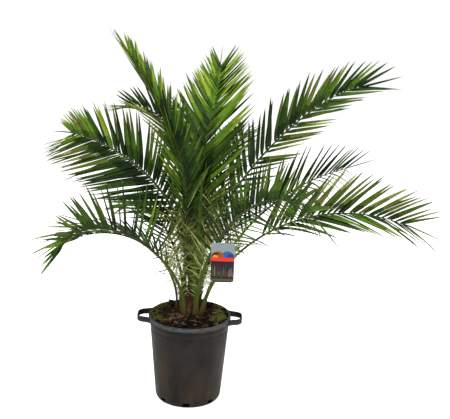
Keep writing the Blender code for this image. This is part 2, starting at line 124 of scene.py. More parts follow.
# Ribs
FOOT_FADE = 0.055  # the length over which a stalk's broad foot narrows
PLAIN_GIRTH = 0.0060  # the girth at which a stalk has no broad foot
RIB_HALF = 0.0056  # half the rib's width at its root and, below, at its tip
RIB_TIP = 0.0008
RIB_SIDES = 14
ROLL_SPEED = 1.6  # a frond's roll is full at 1 / ROLL_SPEED of its rib
SHEATH_END = 0.06  # the share of the rib that has the sheath's colour
DISH = 0.5  # how far a stalk's foot is hollowed, and how fast that fades along the rib
DISH_FADE = 4.0

# Leaflets: each is a strip of so many rows and columns of points
LEAF_ROWS = 13
LEAF_COLS = 5
LAST_SHARE = 0.999  # where the leaflet at the tip stands on the rib
YOUNGEST = ("01", "02")  # the fronds whose leaflets still meet over the rachis
YOUNG_INSET = 0.30  # where a leaflet's root lies, as a share of half the rib's width
INSET = 0.75
FULL_FOOT = 0.95  # a root's width, as a share of its leaflet's
HALF_FOOT = 0.5
FOOT_EASE = 0.16  # the share of a leaflet over which it widens from its root
LEAST_WIDTH = 0.035  # the share of the width that is left at the tip
FLATTENING = 0.55  # how much of the fold is gone at the tip
UV_STEP = 0.37  # the shift between two strips, so that their veins differ

# How leaflets differ: standard deviations, or the two ends of an even spread
PLACE_JITTER = 0.10  # over the number of leaflets in a row
LEAN_JITTER = 2.6
LENGTH_JITTER = 0.035
LIFT_JITTER = 0.045
WIDTH_JITTER = 0.06
TWIST_JITTER = 9.0
TWIST_OUT = 10.0  # degrees that each side's leaflets are turned about their own length
DROOP_SPREAD = (0.5, 1.5)
CURL_SPREAD = (0.02, 0.09)
FOLD_SPREAD = (18.0, 34.0)

# Spines on the stalks, and the youngest frond's leaflets that are still pressed to its stalk
SPINE_START = 0.085
SPINE_END = LEAF_START + 0.02
SPINE_STEP = 0.0044
SHORTEST_SPINE = 0.035
SPINE_GROWTH = 0.105  # how much longer the highest ones are
SHORT_SPINES = {"08": 0.25, "04": 0.30}  # how short side -1's stay under a low stalk's arch
SHEAF_LEAVES = 74

# How much lies on the soil, and the radii between which its lumps are strewn
TUFTS = 13
TUFT_BLADES = 60
STRAWS = 300
FIBRES = 900
STREWN = (0.036, 0.136)

# Tag: the half discs of its print (middle, radius, ink), its bars and its band
TAG_BARS = 26
TAG_DISCS = ((0.016, 0.0230, "blue"), (-0.018, 0.0220, "sun"), (-0.022, 0.0170, "plum"),
             (-0.014, 0.0120, "sun"), (-0.026, 0.0095, "glow"), (0.026, 0.0130, "deep"))
HORIZON = 0.019
BAND_FOOT = 0.006
STRAP_RADIUS = 0.0118
STRAP_HALF = 0.0022
STRAP_THIN = 0.0008

# Seeds of the random draws
SEEDS = {"leaflets": 100, "spines": 700, "spine_tones": 41, "sheaf": 61, "leaf_bases": 5, "fibres": 8,
         "soil_clods": 21, "soil_crumbs": 22, "bark_chips": 23, "moss": 12, "straws": 19, "tag": 3}


# ------------ the view

CAMERA_PLACE = (0.1175, -2.640, 1.370)
CAMERA_PITCH = 13.6
CAMERA_ROLL = 2.08
CAMERA_LENS = 60.0
SENSOR = 36.0
BACKDROP = 1.02  # the white that the camera sees behind the plant
AMBIENT = 0.42  # and the light that it gives
FLOOR_GLOW = 0.74  # keeps the far floor as white as the backdrop


class Frond(NamedTuple):
    """The arch of one frond and the set of its leaflets, as in the CAD."""
    name: str
    azimuth: float
    sweep: float
    reach: float
    height: float
    rise_angle: float
    rise: float
    tip_angle: float
    lead: float
    root: float
    seat_angle: float
    seat_radius: float
    roll: float
    leaflet: float
    base_spread: float
    tip_spread: float
    fold: float


IN, OUT = INNER_ROOT, OUTER_ROOT
# name, azimuth, sweep, reach, height, rise (angle, length), tip (angle, lead),
# root height, seat (angle, radius), roll, leaflet, spread (base, tip), fold
FRONDS = [
    Frond("04", -22, 13, 0.752, 0.728, 74, 0.21, -22, 0.40, OUT, -22, 0.045, 50, 0.200, 46, 32, 20),
    Frond("08", 222, 20, 0.715, 0.757, 92, 0.19, -10, 0.36, OUT, 243, 0.047, 50, 0.215, 74, 8, 42),
    Frond("03", 4, -6, 0.574, 1.190, 90, 0.34, 12, 0.18, IN, 4, 0.030, 52, 0.170, 60, 20, 8),
    Frond("07", 162, -12, 0.560, 0.948, 98, 0.44, -6, 0.17, IN, 179, 0.030, -52, 0.215, 72, 18, -10),
    Frond("01", 154, -14, 0.335, 1.255, 89, 0.40, 38, 0.36, IN, 137, 0.030, 10, 0.190, 40, 15, 18),
    Frond("02", 70, 10, 0.452, 1.216, 82, 0.60, 32, 0.43, IN, 76, 0.008, -4, 0.205, 52, 29, 8),
    Frond("05", 16, 8, 0.640, 0.850, 71, 0.30, 5, 0.30, OUT, 16, 0.045, 44, 0.205, 55, 18, 28),
    Frond("06", -60, 0, 0.700, 0.875, 84, 0.30, -22, 0.24, OUT, -60, 0.045, -72, 0.190, 62, 34, 10),
    Frond("09", 168, -16, 0.270, 1.080, 88, 0.30, -6, 0.28, IN, 228, 0.030, -50, 0.172, 48, 22, 20),
    Frond("13", 54, -4, 0.600, 0.660, 76, 0.24, -24, 0.26, OUT, 54, 0.045, 10, 0.185, 54, 26, 24),
    Frond("12", 118, 4, 0.580, 0.610, 78, 0.22, -26, 0.26, OUT, 119, 0.0468, -14, 0.185, 54, 26, 24),
    Frond("15", 88, -4, 0.640, 0.570, 74, 0.22, -30, 0.28, OUT, 88, 0.045, -6, 0.180, 54, 26, 24),
    Frond("11", 96, 0, 0.600, 0.950, 79, 0.34, -6, 0.28, IN, 95, 0.030, -8, 0.190, 56, 28, 24),
    Frond("10", 66, 2, 0.500, 0.950, 84, 0.30, 12, 0.24, IN, 53, 0.030, 12, 0.180, 55, 26, 22),
    Frond("14", 178, 0, 0.420, 0.600, 86, 0.21, -24, 0.20, OUT, 178, 0.050, 10, 0.140, 52, 24, 28),
]


class Looks(NamedTuple):
    """A frond's finish.  Each pair is for its two rows of leaflets, side 1 and side -1.

    lengths are shares of the longest leaflet, widths (metres) the widest leaflet, droops how
    far a leaflet's end sinks as a share of its length, tones the keys of TONES for the row's
    inner and outer part, and girth half the width of the stalk's foot.  starts are the shares
    of the rib where the rows begin, opens degrees added to a row's spread at its tip, and
    taper how much longer a row is at its foot and shorter at its tip.
    """
    counts: tuple
    lengths: tuple
    widths: tuple
    droops: tuple
    tones: tuple
    girth: float = 0.0105
    starts: tuple = (LEAF_START, LEAF_START)
    opens: tuple = (0, 0)
    taper: float = 0.0


def alike(count, length, width, droop, tones, *rest):
    """The looks of a frond whose two rows are alike."""
    return Looks((count, count), (length, length), (width, width), (droop, droop), tones, *rest)


DARK = ("dark", "mid")
WARM = ("mid", "warm")
BRIGHT = ("bright", "bright")
LOOKS = {
    "01": Looks((46, 46), (1.00, 0.95), (0.0165, 0.0165), (0.00, 0.00), (BRIGHT, BRIGHT),
                0.0105, (0.46, 0.50)),
    "02": Looks((62, 62), (1.12, 1.12), (0.0190, 0.0200), (0.00, 0.00), (("lower", "fresh"),) * 2,
                0.0105, (0.27, 0.27), (-10, -3), 0.36),
    "03": Looks((35, 28), (1.03, 1.00), (0.0185, 0.0175), (0.00, 0.02), (DARK, ("mid", "mid")),
                0.0105, (0.28, 0.28)),
    "04": Looks((29, 24), (1.00, 1.00), (0.0162, 0.0160), (0.02, 0.14), (("mid", "olive"), ("deep", "mid")),
                0.0240, (0.42, 0.42), (2, -12)),
    "05": Looks((27, 12), (0.95, 0.60), (0.0118, 0.0130), (0.00, 0.70), (("deep", "deep"), ("mid", "olive")),
                0.0110, (0.30, 0.60), (0, 24)),
    "06": Looks((24, 34), (0.90, 0.88), (0.0130, 0.0160), (0.12, 0.02), (("mid", "olive"), ("deep", "mid")),
                0.0150),
    "07": Looks((62, 58), (1.13, 1.10), (0.0142, 0.0146), (0.04, 0.00), (("deep", "warm"), ("dark", "warm")),
                0.0105, (0.30, 0.30), (8, -4)),
    "08": Looks((27, 28), (0.88, 0.98), (0.0152, 0.0118), (0.00, 0.02), (("mid", "mid"), ("deep", "warm")),
                0.0135, (0.30, 0.30), (0, -6)),
    "09": Looks((30, 26), (1.05, 0.86), (0.0130, 0.0165), (0.04, 0.00), (WARM, ("dark", "deep"))),
    "10": alike(26, 0.90, 0.0170, 0.03, (DARK, DARK)),
    "11": alike(28, 0.95, 0.0180, 0.03, (("mid", "bright"),) * 2),
    "12": alike(27, 0.95, 0.0175, 0.06, (DARK, WARM)),
    "13": alike(27, 0.95, 0.0175, 0.06, (WARM, DARK)),
    "14": alike(20, 0.95, 0.0130, 0.06, (DARK, DARK), 0.0080),
    "15": alike(27, 0.95, 0.0175, 0.08, (WARM, DARK)),
}


# Base colours of the leaf materials, and how often each is dealt to a frond's leaflets
LEAF_COLOURS = {
    "leaf_young": (0.105, 0.165, 0.013),
    "leaf_bright": (0.050, 0.110, 0.008),
    "leaf_mid": (0.028, 0.062, 0.007),
    "leaf_dark": (0.014, 0.033, 0.005),
    # leaf_deep is near black: a painted shade, dealt by SHADED at leaflets' roots and by the deep tone to
    # the darkest rows
    "leaf_deep": (0.006, 0.015, 0.004),
    "leaf_olive": (0.056, 0.074, 0.013),
    "leaf_light": (0.125, 0.160, 0.040),
    "leaf_dry": (0.150, 0.110, 0.050),
}
# young, bright, mid, dark, deep, olive, light
TONES = {
    "fresh": (0.34, 0.44, 0.16, 0.06, 0.00, 0.00, 0.00),
    "bright": (0.08, 0.50, 0.36, 0.06, 0.00, 0.00, 0.00),
    "lower": (0.00, 0.32, 0.40, 0.28, 0.00, 0.00, 0.00),
    "mid": (0.00, 0.14, 0.50, 0.28, 0.00, 0.08, 0.00),
    "dark": (0.00, 0.03, 0.27, 0.50, 0.17, 0.03, 0.00),
    "deep": (0.00, 0.00, 0.08, 0.42, 0.50, 0.00, 0.00),
    "olive": (0.00, 0.06, 0.24, 0.18, 0.00, 0.44, 0.08),
    "warm": (0.05, 0.18, 0.27, 0.20, 0.00, 0.30, 0.00),
}
OUTER_PART = 0.52  # from here the outer tones are dealt
SHADED = (1, 2, 3, 4, 4, 3, 5)  # the tone of a leaflet's first part, for each tone: a darker green, painted shade near the rachis
SUNNED = (0, 0, 5, 2, 3, 6, 6)  # and of its last part, where the sun has paled it
SHADED_ROWS = 3
SUNNED_ROWS = 5
PALED = 0.45  # the share of leaflets whose last part is paler
DRY_TIPS = 0.35  # the share of leaflets whose last stretch is dry


# ------------ materials

# Specular levels.  All is lit from a white room, so each one stays low.
LEAF_GLOSS = 0.035
ROUGH_GLOSS = 0.04
PLASTIC_GLOSS = 0.08
FLOOR_GLOSS = 0.1
NOISE_SPAN = (0.3, 0.7)  # between these nearly all of a noise's values lie
MIX_SHARE, MIX_FIRST, MIX_SECOND, MIX_RESULT = 0, 6, 7, 2  # a Mix node's sockets for colours
SOILED = (0.26, 0.02)  # the heights between which dirt sets in, downward
RIM_WEAR_AND_SHEEN = (0.308, 0.318)  # and the heights over which the top turns paler, upward: worn, and a painted highlight
VEIN_TINT = (1.9, 1.45, 1.5)  # how much paler a leaf's veins are in red, green and blue


class Graph:
    """A Principled material that is built up node by node."""

    def __init__(self, name):
        self.material = bpy.data.materials.new(name)
        self.material.use_nodes = True
        self.nodes = self.material.node_tree.nodes
        self.links = self.material.node_tree.links
        self.shader = self.nodes["Principled BSDF"]

    def add(self, kind, values, **settings):
        node = self.nodes.new(kind)
        for key, value in settings.items():
            setattr(node, key, value)
        for key, value in values.items():
            if isinstance(value, bpy.types.NodeSocket):
                self.links.new(value, node.inputs[key])
            else:
                node.inputs[key].default_value = value
        return node

    def coords(self, kind="Object", scale=(1.0, 1.0, 1.0)):
        source = self.add("ShaderNodeTexCoord", {}).outputs[kind]
        return self.add("ShaderNodeMapping", {"Vector": source, "Scale": scale}).outputs["Vector"]

    def noise(self, vector, scale, detail=4.0, roughness=0.55):
        values = {"Vector": vector, "Scale": scale, "Detail": detail, "Roughness": roughness}
        return self.add("ShaderNodeTexNoise", values).outputs["Fac"]

    def ramp(self, value, low, high, bottom=0.0, top=1.0):
        """A value that goes from bottom to top as the input goes from low to high."""
        values = {"Value": value, "From Min": low, "From Max": high, "To Min": bottom, "To Max": top}
        return self.add("ShaderNodeMapRange", values, clamp=True).outputs["Result"]

    def spread(self, value, low, high):
        """A value from low to high as a noise goes over its usual span."""
        return self.ramp(value, *NOISE_SPAN, low, high)

    def product(self, first, second):
        return self.add("ShaderNodeMath", {0: first, 1: second}, operation="MULTIPLY").outputs[0]

    def mix(self, share, first, second):
        first, second = ((*c, 1.0) if isinstance(c, tuple) else c for c in (first, second))
        values = {MIX_SHARE: share, MIX_FIRST: first, MIX_SECOND: second}
        return self.add("ShaderNodeMix", values, data_type="RGBA").outputs[MIX_RESULT]

    def bump(self, height, distance, strength):
        values = {"Height": height, "Distance": distance, "Strength": strength}
        normal = self.add("ShaderNodeBump", values).outputs["Normal"]
        self.links.new(normal, self.shader.inputs["Normal"])

    def finish(self, colour, roughness, specular):
        self.links.new(colour, self.shader.inputs["Base Color"])
        self.links.new(roughness, self.shader.inputs["Roughness"])
        self.shader.inputs["Specular IOR Level"].default_value = specular
        return self.material

    def mottled(self, broad, fine, tones, limits, streak, share, bump, roughness, gloss):
        """Two tones by the broad noise, and streaks by the fine one, which is also the relief."""
        tint = self.mix(self.ramp(broad, *limits), *tones)
        tint = self.mix(self.spread(fine, 0.0, share), tint, streak)
        self.bump(fine, *bump)
        return self.finish(tint, self.spread(broad, *roughness), gloss)


def shade(colour, factor):
    return tuple(min(c * factor, 1.0) for c in colour)


def leaf_material(name, colour):
    """Leaf green with lengthwise veins; UV runs across and along each leaflet in metres."""
    graph = Graph(name)
    veins = graph.noise(graph.coords("UV", (900.0, 14.0, 1.0)), 1.0, 3.0)
    patches = graph.noise(graph.coords(), 9.0, 3.0)
    tones = shade(colour, 0.78), shade(colour, 1.22)
    vein = tuple(c * k for c, k in zip(colour, VEIN_TINT))
    return graph.mottled(patches, veins, tones, (0.35, 0.68), vein, 0.45, (0.0004, 0.6), (0.42, 0.60),
                         LEAF_GLOSS)


def stalk_material(name, colour, accent):
    """A smooth green limb with fine lengthwise fibres and blotches; UV runs along it."""
    graph = Graph(name)
    fibres = graph.noise(graph.coords("UV", (260.0, 9.0, 1.0)), 1.0)
    blotches = graph.noise(graph.coords(), 22.0, 5.0, 0.6)
    return graph.mottled(blotches, fibres, (colour, accent), (0.42, 0.66), shade(colour, 0.55), 0.5,
                         (0.0005, 0.8), (0.38, 0.58), LEAF_GLOSS)


def rough_material(name, colour, accent, scale, relief):
    """Soil, bark, moss and fibre: mottled in two tones, with a grainy relief in metres."""
    graph = Graph(name)
    where = graph.coords()
    mottle = graph.noise(where, scale, 6.0, 0.65)
    grain = graph.noise(where, scale * 6.0)
    return graph.mottled(mottle, grain, (colour, accent), (0.38, 0.64), shade(colour, 0.45), 0.5,
                         (relief, 1.0), (0.80, 0.98), ROUGH_GLOSS)


def pot_material(name, colour, dust_and_sheen, dirt, wear_and_sheen):
    """Moulded charcoal plastic: paler patches, dusty on the pot and a painted highlight on the handles;
    dried soil low down; scuffs; and a paler top band that is both worn and a painted highlight.
    """
    graph = Graph(name)
    where = graph.coords()
    patches = graph.noise(where, 9.0, 6.0, 0.65)
    smears = graph.noise(graph.coords("Object", (16.0, 16.0, 7.0)), 1.0, 6.0, 0.65)
    scuffs = graph.noise(graph.coords("Object", (60.0, 60.0, 160.0)), 1.0, 4.0, 0.7)
    height = graph.add("ShaderNodeSeparateXYZ", {"Vector": where}).outputs["Z"]
    low = graph.product(graph.ramp(height, *SOILED), graph.ramp(smears, 0.38, 0.60))
    # A paler band at the top, both worn and a painted highlight: the rim's top and the handles' upper part
    rim = graph.product(graph.ramp(height, *RIM_WEAR_AND_SHEEN), graph.ramp(scuffs, 0.30, 0.56))
    # The paler patches are dusty plastic on the pot and a painted highlight on the handles
    tint = graph.mix(graph.ramp(patches, 0.44, 0.66), colour, dust_and_sheen)
    for share, tone in ((graph.ramp(smears, 0.50, 0.78), dirt), (low, dirt),
                        (graph.ramp(scuffs, 0.66, 0.80), wear_and_sheen), (rim, wear_and_sheen)):
        tint = graph.mix(share, tint, tone)
    graph.bump(graph.noise(where, 900.0, 2.0), 0.00025, 0.5)
    return graph.finish(tint, graph.spread(patches, 0.42, 0.66), PLASTIC_GLOSS)


def print_material(name, colour):
    """Glossy printed card, with the slight mottle of ink."""
    graph = Graph(name)
    ink = graph.noise(graph.coords(), 160.0, 3.0)
    wide = graph.noise(graph.coords(), 30.0, 2.0)
    tint = graph.mix(graph.spread(ink, 0.0, 0.6), shade(colour, 0.86), shade(colour, 1.12))
    graph.bump(ink, 0.00008, 0.3)
    return graph.finish(tint, graph.spread(wide, 0.32, 0.46), PLASTIC_GLOSS)


# ------------ mesh building

def dice(kind, number=0):
    return np.random.default_rng(SEEDS[kind] + number)


def full_turn(count):
    return np.linspace(0.0, 2 * np.pi, count, endpoint=False)


def polar(reach, turn, height):
    """Points at a distance from the axis, an angle and a height."""
    return np.stack(np.broadcast_arrays(reach * np.cos(turn), reach * np.sin(turn), height), axis=-1)


def grid_faces(count, rows, cols, closed=False):
    """Quads of so many grids of rows x cols points; closed joins the last column to the first."""
    across = cols if closed else cols - 1
    row, col = np.meshgrid(np.arange(rows - 1), np.arange(across), indexing="ij")
    after = (col + 1) % cols
    corners = [row * cols + col, row * cols + after, (row + 1) * cols + after, (row + 1) * cols + col]
    one = np.stack(corners, axis=-1).reshape(-1, 4)
    return (one[None] + np.arange(count)[:, None, None] * rows * cols).reshape(-1, 4)


def tube_faces(rows, cols):
    """The faces of one closed grid, with a cap on its first row and one on its last."""
    sides = [tuple(face) for face in grid_faces(1, rows, cols, closed=True)]
    return sides + [tuple(reversed(range(cols))), tuple(range((rows - 1) * cols, rows * cols))]


def new_object(name, data):
    thing = bpy.data.objects.new(name, data)
    bpy.context.scene.collection.objects.link(thing)
    return thing


def adopt(piece, stands_for=()):
    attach(piece, "root")
    if stands_for:
        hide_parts(*stands_for)


def make_piece(name, verts, faces, finishes, stands_for=(), indices=None, uvs=None):
    """A smooth-shaded mesh object that rides on the root body."""
    mesh = bpy.data.meshes.new(name)
    mesh.from_pydata(np.reshape(verts, (-1, 3)).tolist(), [], [list(map(int, face)) for face in faces])
    for finish in finishes:
        mesh.materials.append(finish)
    if indices is not None:
        mesh.polygons.foreach_set("material_index", np.asarray(indices, dtype=np.int32))
    if uvs is not None:
        layer = mesh.uv_layers.new(name="UVMap")
        corners = np.empty(len(mesh.loops), dtype=np.int32)
        mesh.loops.foreach_get("vertex_index", corners)
        flat = np.reshape(uvs, (-1, 2)).astype(np.float32)
        layer.data.foreach_set("uv", flat[corners].ravel())
    mesh.shade_smooth()
    mesh.update()
    piece = new_object(name, mesh)
    adopt(piece, stands_for)
    return piece


def grids_piece(name, points, finishes, kinds, uvs=None, closed=False):
    """One piece of many grids of points, each with one of the finishes."""
    count, rows, cols = points.shape[:3]
    faces = grid_faces(count, rows, cols, closed)
    return make_piece(name, points, faces, finishes, (), np.repeat(kinds, len(faces) // count), uvs)


def thicken(piece, thickness, offset=-1.0):
    """Give a sheet its thickness: inward at offset -1, both ways at 0 and outward at 1."""
    solid = piece.modifiers.new("thickness", "SOLIDIFY")
    solid.thickness = thickness
    solid.offset = offset


def face_outward(mesh):
    made = bmesh.new()
    made.from_mesh(mesh)
    bmesh.ops.recalc_face_normals(made, faces=made.faces[:])
    made.to_mesh(mesh)
    made.free()


def arc(centre, radius, start, end, count):
    angles = np.radians(np.linspace(start, end, count + 1))
    return [(centre[0] + radius * math.cos(a), centre[1] + radius * math.sin(a)) for a in angles]


def rounded_rectangle(width, tall, corner, steps):
    half_w, half_t = width / 2 - corner, tall / 2 - corner
    points = []
    for turn, (sx, sz) in enumerate(((1, 1), (-1, 1), (-1, -1), (1, -1))):
        points += arc((sx * half_w, sz * half_t), corner, turn * 90, turn * 90 + 90, steps)
    return points


def unit(rows):
    return rows / np.linalg.norm(rows, axis=-1, keepdims=True)


def around(vectors, axes, angles):
    """Vectors turned about unit axes, row by row (Rodrigues' formula)."""
    cos, sin = np.cos(angles)[:, None], np.sin(angles)[:, None]
    along = np.sum(vectors * axes, axis=1)[:, None] * axes
    return vectors * cos + np.cross(axes, vectors) * sin + along * (1.0 - cos)


# ------------ a frond's arch, as in the CAD


def even_steps(points, count):
    run = np.concatenate([[0.0], np.cumsum(np.linalg.norm(np.diff(points, axis=0), axis=1))])
    places = np.linspace(0.0, run[-1], count)
    return np.stack([np.interp(places, run, points[:, k]) for k in range(3)], axis=1)


def rib_line(frond, count=PATH_POINTS):
    share = np.linspace(0.0, 1.0, count)
    rise = np.radians(frond.rise_angle)
    dip = np.radians(frond.tip_angle)
    start = np.array([0.0, frond.root])
    end = np.array([frond.reach, frond.height])
    first = start + frond.rise * np.array([np.cos(rise), np.sin(rise)])
    second = end - frond.lead * np.array([np.cos(dip), np.sin(dip)])
    t = share[:, None]
    arch = (1 - t) ** 3 * start + 3 * (1 - t) ** 2 * t * first
    arch = arch + 3 * (1 - t) * t ** 2 * second + t ** 3 * end
    azimuth = np.radians(frond.azimuth + frond.sweep * share ** 2)
    seat = np.radians(frond.seat_angle)
    shift = frond.seat_radius * np.array([np.cos(seat), np.sin(seat)])
    fade = (1.0 - share)[:, None] ** 2
    flat = arch[:, :1] * np.stack([np.cos(azimuth), np.sin(azimuth)], axis=1) + fade * shift
    return even_steps(np.column_stack([flat, arch[:, 1]]), count), azimuth


def rib_frames(points, azimuth, roll):
    along = unit(np.gradient(points, axis=0))
    across = np.stack([-np.sin(azimuth), np.cos(azimuth), np.zeros(len(azimuth))], axis=1)
    across = unit(across - np.sum(across * along, axis=1)[:, None] * along)
    up = np.cross(along, across)
    share = np.linspace(0.0, 1.0, len(points))
    turn = (np.radians(roll) * np.clip(share * ROLL_SPEED, 0.0, 1.0))[:, None]
    return along, np.cos(turn) * across + np.sin(turn) * up, np.cos(turn) * up - np.sin(turn) * across


def at(rows, share):
    places = np.asarray(share) * (len(rows) - 1)
    index = np.arange(len(rows))
    return np.stack([np.interp(places, index, rows[:, k]) for k in range(rows.shape[1])], axis=1)


def swell(t, least, skew):
    """From least at a row's ends to 1 near its middle, which a skew below 1 moves inward."""
    return least + (1.0 - least) * np.sin(np.pi * np.clip(t, 0.0, 1.0) ** skew)


class Arch:
    """A frond's rib, with its length and its frames."""

    def __init__(self, frond):
        self.frond = frond
        self.points, azimuth = rib_line(frond)
        self.length = float(np.sum(np.linalg.norm(np.diff(self.points, axis=0), axis=1)))
        self.along, self.across, self.up = rib_frames(self.points, azimuth, frond.roll)

    def frames(self, shares):
        """The ways along the rib, across it and up from it at shares of its length."""
        return at(self.along, shares), at(self.across, shares), at(self.up, shares)

    def half_width(self, share):
        """Half the rib's width: a broad foot, an even stalk and a rachis that thins out."""
        share = np.asarray(share)
        foot = (LOOKS[self.frond.name].girth - PLAIN_GIRTH) * np.exp(-share * self.length / FOOT_FADE)
        return RIB_HALF * (1.0 - share) ** 0.75 + RIB_TIP + foot

    def leaflet_ways(self, shares, sides, lean):
        """Full leaflet vectors at shares of the rib; lean (degrees) opens each one further."""
        frond = self.frond
        along, across, up = self.frames(shares)
        t = (shares - LEAF_START) / (1.0 - LEAF_START)
        length = frond.leaflet * swell(t, 0.78, 0.8)
        spread = np.radians(frond.base_spread + (frond.tip_spread - frond.base_spread) * t + lean)
        fold = math.radians(frond.fold)
        sideways = sides[:, None] * math.cos(fold) * across
        sideways = sideways + math.sin(fold) * up
        way = np.cos(spread)[:, None] * along + np.sin(spread)[:, None] * sideways
        return length[:, None] * way


# ------------ leaflets and spines

def bent(reaches, t, ways):
    """How far curved lines have left their straight course at t, from 0 to 1."""
    return reaches[:, None, None] * (t ** 2)[None, :, None] * ways


def folded_strips(roots, ways, alongs, ups, widths, droops, curls, folds, twists, foot=HALF_FOOT):
    """Lance-shaped strips, each folded up along its middle like a shallow V.

    Returns their points as (strip, row, column, 3) and their UVs in metres.
    """
    lengths = np.linalg.norm(ways, axis=1)
    aim = ways / lengths[:, None]
    edge = unit(alongs - np.sum(alongs * aim, axis=1)[:, None] * aim)
    face = np.cross(aim, edge)
    face = face * np.sign(np.sum(face * ups, axis=1))[:, None]
    edge = around(edge, aim, twists)
    face = around(face, aim, twists)

    t = np.linspace(0.0, 1.0, LEAF_ROWS)
    outline = (foot + (1.0 - foot) * np.clip(t / FOOT_EASE, 0.0, 1.0) ** 0.8) * (1.0 - t ** 2.3) ** 0.85
    outline = np.maximum(outline, LEAST_WIDTH)
    fold_along = 1.0 - FLATTENING * t

    fall = np.array([0.0, 0.0, -1.0])
    spine = roots[:, None] + ways[:, None] * t[None, :, None]
    spine = spine + bent(lengths * droops, t, fall) + bent(lengths * curls, t, alongs[:, None])

    sides = np.linspace(-1.0, 1.0, LEAF_COLS)
    half = widths[:, None] * outline[None] / 2
    tilt = folds[:, None] * fold_along[None]
    out = half[:, :, None] * sides * np.cos(tilt)[:, :, None]
    rise = half[:, :, None] * np.abs(sides) ** 1.25 * np.sin(tilt)[:, :, None]
    points = spine[:, :, None] + out[..., None] * edge[:, None, None] + rise[..., None] * face[:, None, None]

    uv_across = half[:, :, None] * sides + np.arange(len(roots))[:, None, None] * UV_STEP
    uv_along = np.broadcast_to((lengths[:, None] * t)[:, :, None], uv_across.shape)
    return points, np.stack([uv_across, uv_along], axis=-1)


def deal_tones(pair, places, rng):
    """A leaf material for each leaflet of a row, in short runs of like colour."""
    count = len(places)
    inner, outer = (rng.choice(len(LEAF_COLOURS) - 1, size=count, p=np.array(TONES[key])) for key in pair)
    drawn = np.where(places + rng.normal(0.0, 0.08, count) > OUTER_PART, outer, inner)
    kept = rng.random(count) < 0.35
    for i in range(1, count):
        if kept[i]:
            drawn[i] = drawn[i - 1]
    return drawn


def row_shares(count, start):
    """Where one row's leaflets stand on the rib: a little closer together near its tip."""
    steps = (np.arange(count) + 0.5) / count
    return start + (1.0 - start) * steps ** 0.86


def leaflet_strips(arch, rng):
    """Both rows of a frond's leaflets and the one at its tip, and each one's share of the blade."""
    frond = arch.frond
    finish = LOOKS[frond.name]
    numbers = [*finish.counts, 1]
    row = np.repeat([0, 1, 0], numbers)
    sides = np.repeat([1.0, -1.0, 0.0], numbers)
    total = len(row)
    places = [row_shares(*pair) for pair in zip(finish.counts, finish.starts)]
    shares = np.concatenate(places + [[LAST_SHARE]])
    shares = shares + rng.normal(0.0, PLACE_JITTER / finish.counts[0], total)
    shares = np.clip(shares, LEAF_START, LAST_SHARE)
    t = (shares - LEAF_START) / (1.0 - LEAF_START)
    lean = rng.normal(0.0, LEAN_JITTER, total) + np.array(finish.opens)[row] * t
    reach = np.array(finish.lengths)[row] * rng.normal(1.0, LENGTH_JITTER, total)
    reach = reach * (1.0 + finish.taper * (0.5 - t))
    ways = arch.leaflet_ways(shares, sides, lean) * reach[:, None]
    along, across, up = arch.frames(shares)
    ways[-1] = along[-1] * frond.leaflet * TIP_LEAF
    ways += np.linalg.norm(ways, axis=1)[:, None] * up * rng.normal(0.0, LIFT_JITTER, total)[:, None]
    inset, foot = (YOUNG_INSET, FULL_FOOT) if frond.name in YOUNGEST else (INSET, HALF_FOOT)
    half = arch.half_width(shares)
    roots = at(arch.points, shares) + across * (sides * half * inset)[:, None] + up * (half * 0.25)[:, None]

    widths = np.array(finish.widths)[row] * swell(t, 0.66, 0.7) * rng.normal(1.0, WIDTH_JITTER, total)
    droops = np.array(finish.droops)[row] * rng.uniform(*DROOP_SPREAD, total)
    curls = rng.uniform(*CURL_SPREAD, total)
    folds = np.radians(rng.uniform(*FOLD_SPREAD, total))
    twists = np.radians(rng.normal(0.0, TWIST_JITTER, total)) + sides * math.radians(TWIST_OUT)
    return (*folded_strips(roots, ways, along, up, widths, droops, curls, folds, twists, foot), t)


def leaflet_indices(finish, t, rng):
    """The material of each face of a frond's leaflets: painted shade at the root, some pale or dry at the
    tip.
    """
    first = finish.counts[0]
    rows = t[:first], t[first:-1]
    tones = np.concatenate([deal_tones(pair, part, rng) for pair, part in zip(finish.tones, rows)])
    tones = np.append(tones, tones[first - 1])
    indices = np.repeat(tones[:, None], (LEAF_ROWS - 1) * (LEAF_COLS - 1), axis=1)
    indices = indices.reshape(-1, LEAF_ROWS - 1, LEAF_COLS - 1)
    # painted shade: the first rows of each leaflet take a darker tone
    indices[:, :SHADED_ROWS] = np.array(SHADED)[tones][:, None, None]
    paled = rng.random(len(t)) < PALED
    indices[paled, -SUNNED_ROWS:] = np.array(SUNNED)[tones[paled]][:, None, None]
    dry = rng.random(len(t)) < DRY_TIPS
    indices[dry, -1] = len(LEAF_COLOURS) - 1
    return indices.ravel()


def leaflet_piece(arch, finishes):
    name = arch.frond.name
    rng = dice("leaflets", int(name))
    points, uvs, t = leaflet_strips(arch, rng)
    indices = leaflet_indices(LOOKS[name], t, rng)
    faces = grid_faces(len(points), LEAF_ROWS, LEAF_COLS)
    nodes = [f"blade_{name}_inner", f"blade_{name}_outer"]
    make_piece(f"frond_{name}_leaflets", points, faces, finishes, nodes, indices, uvs)


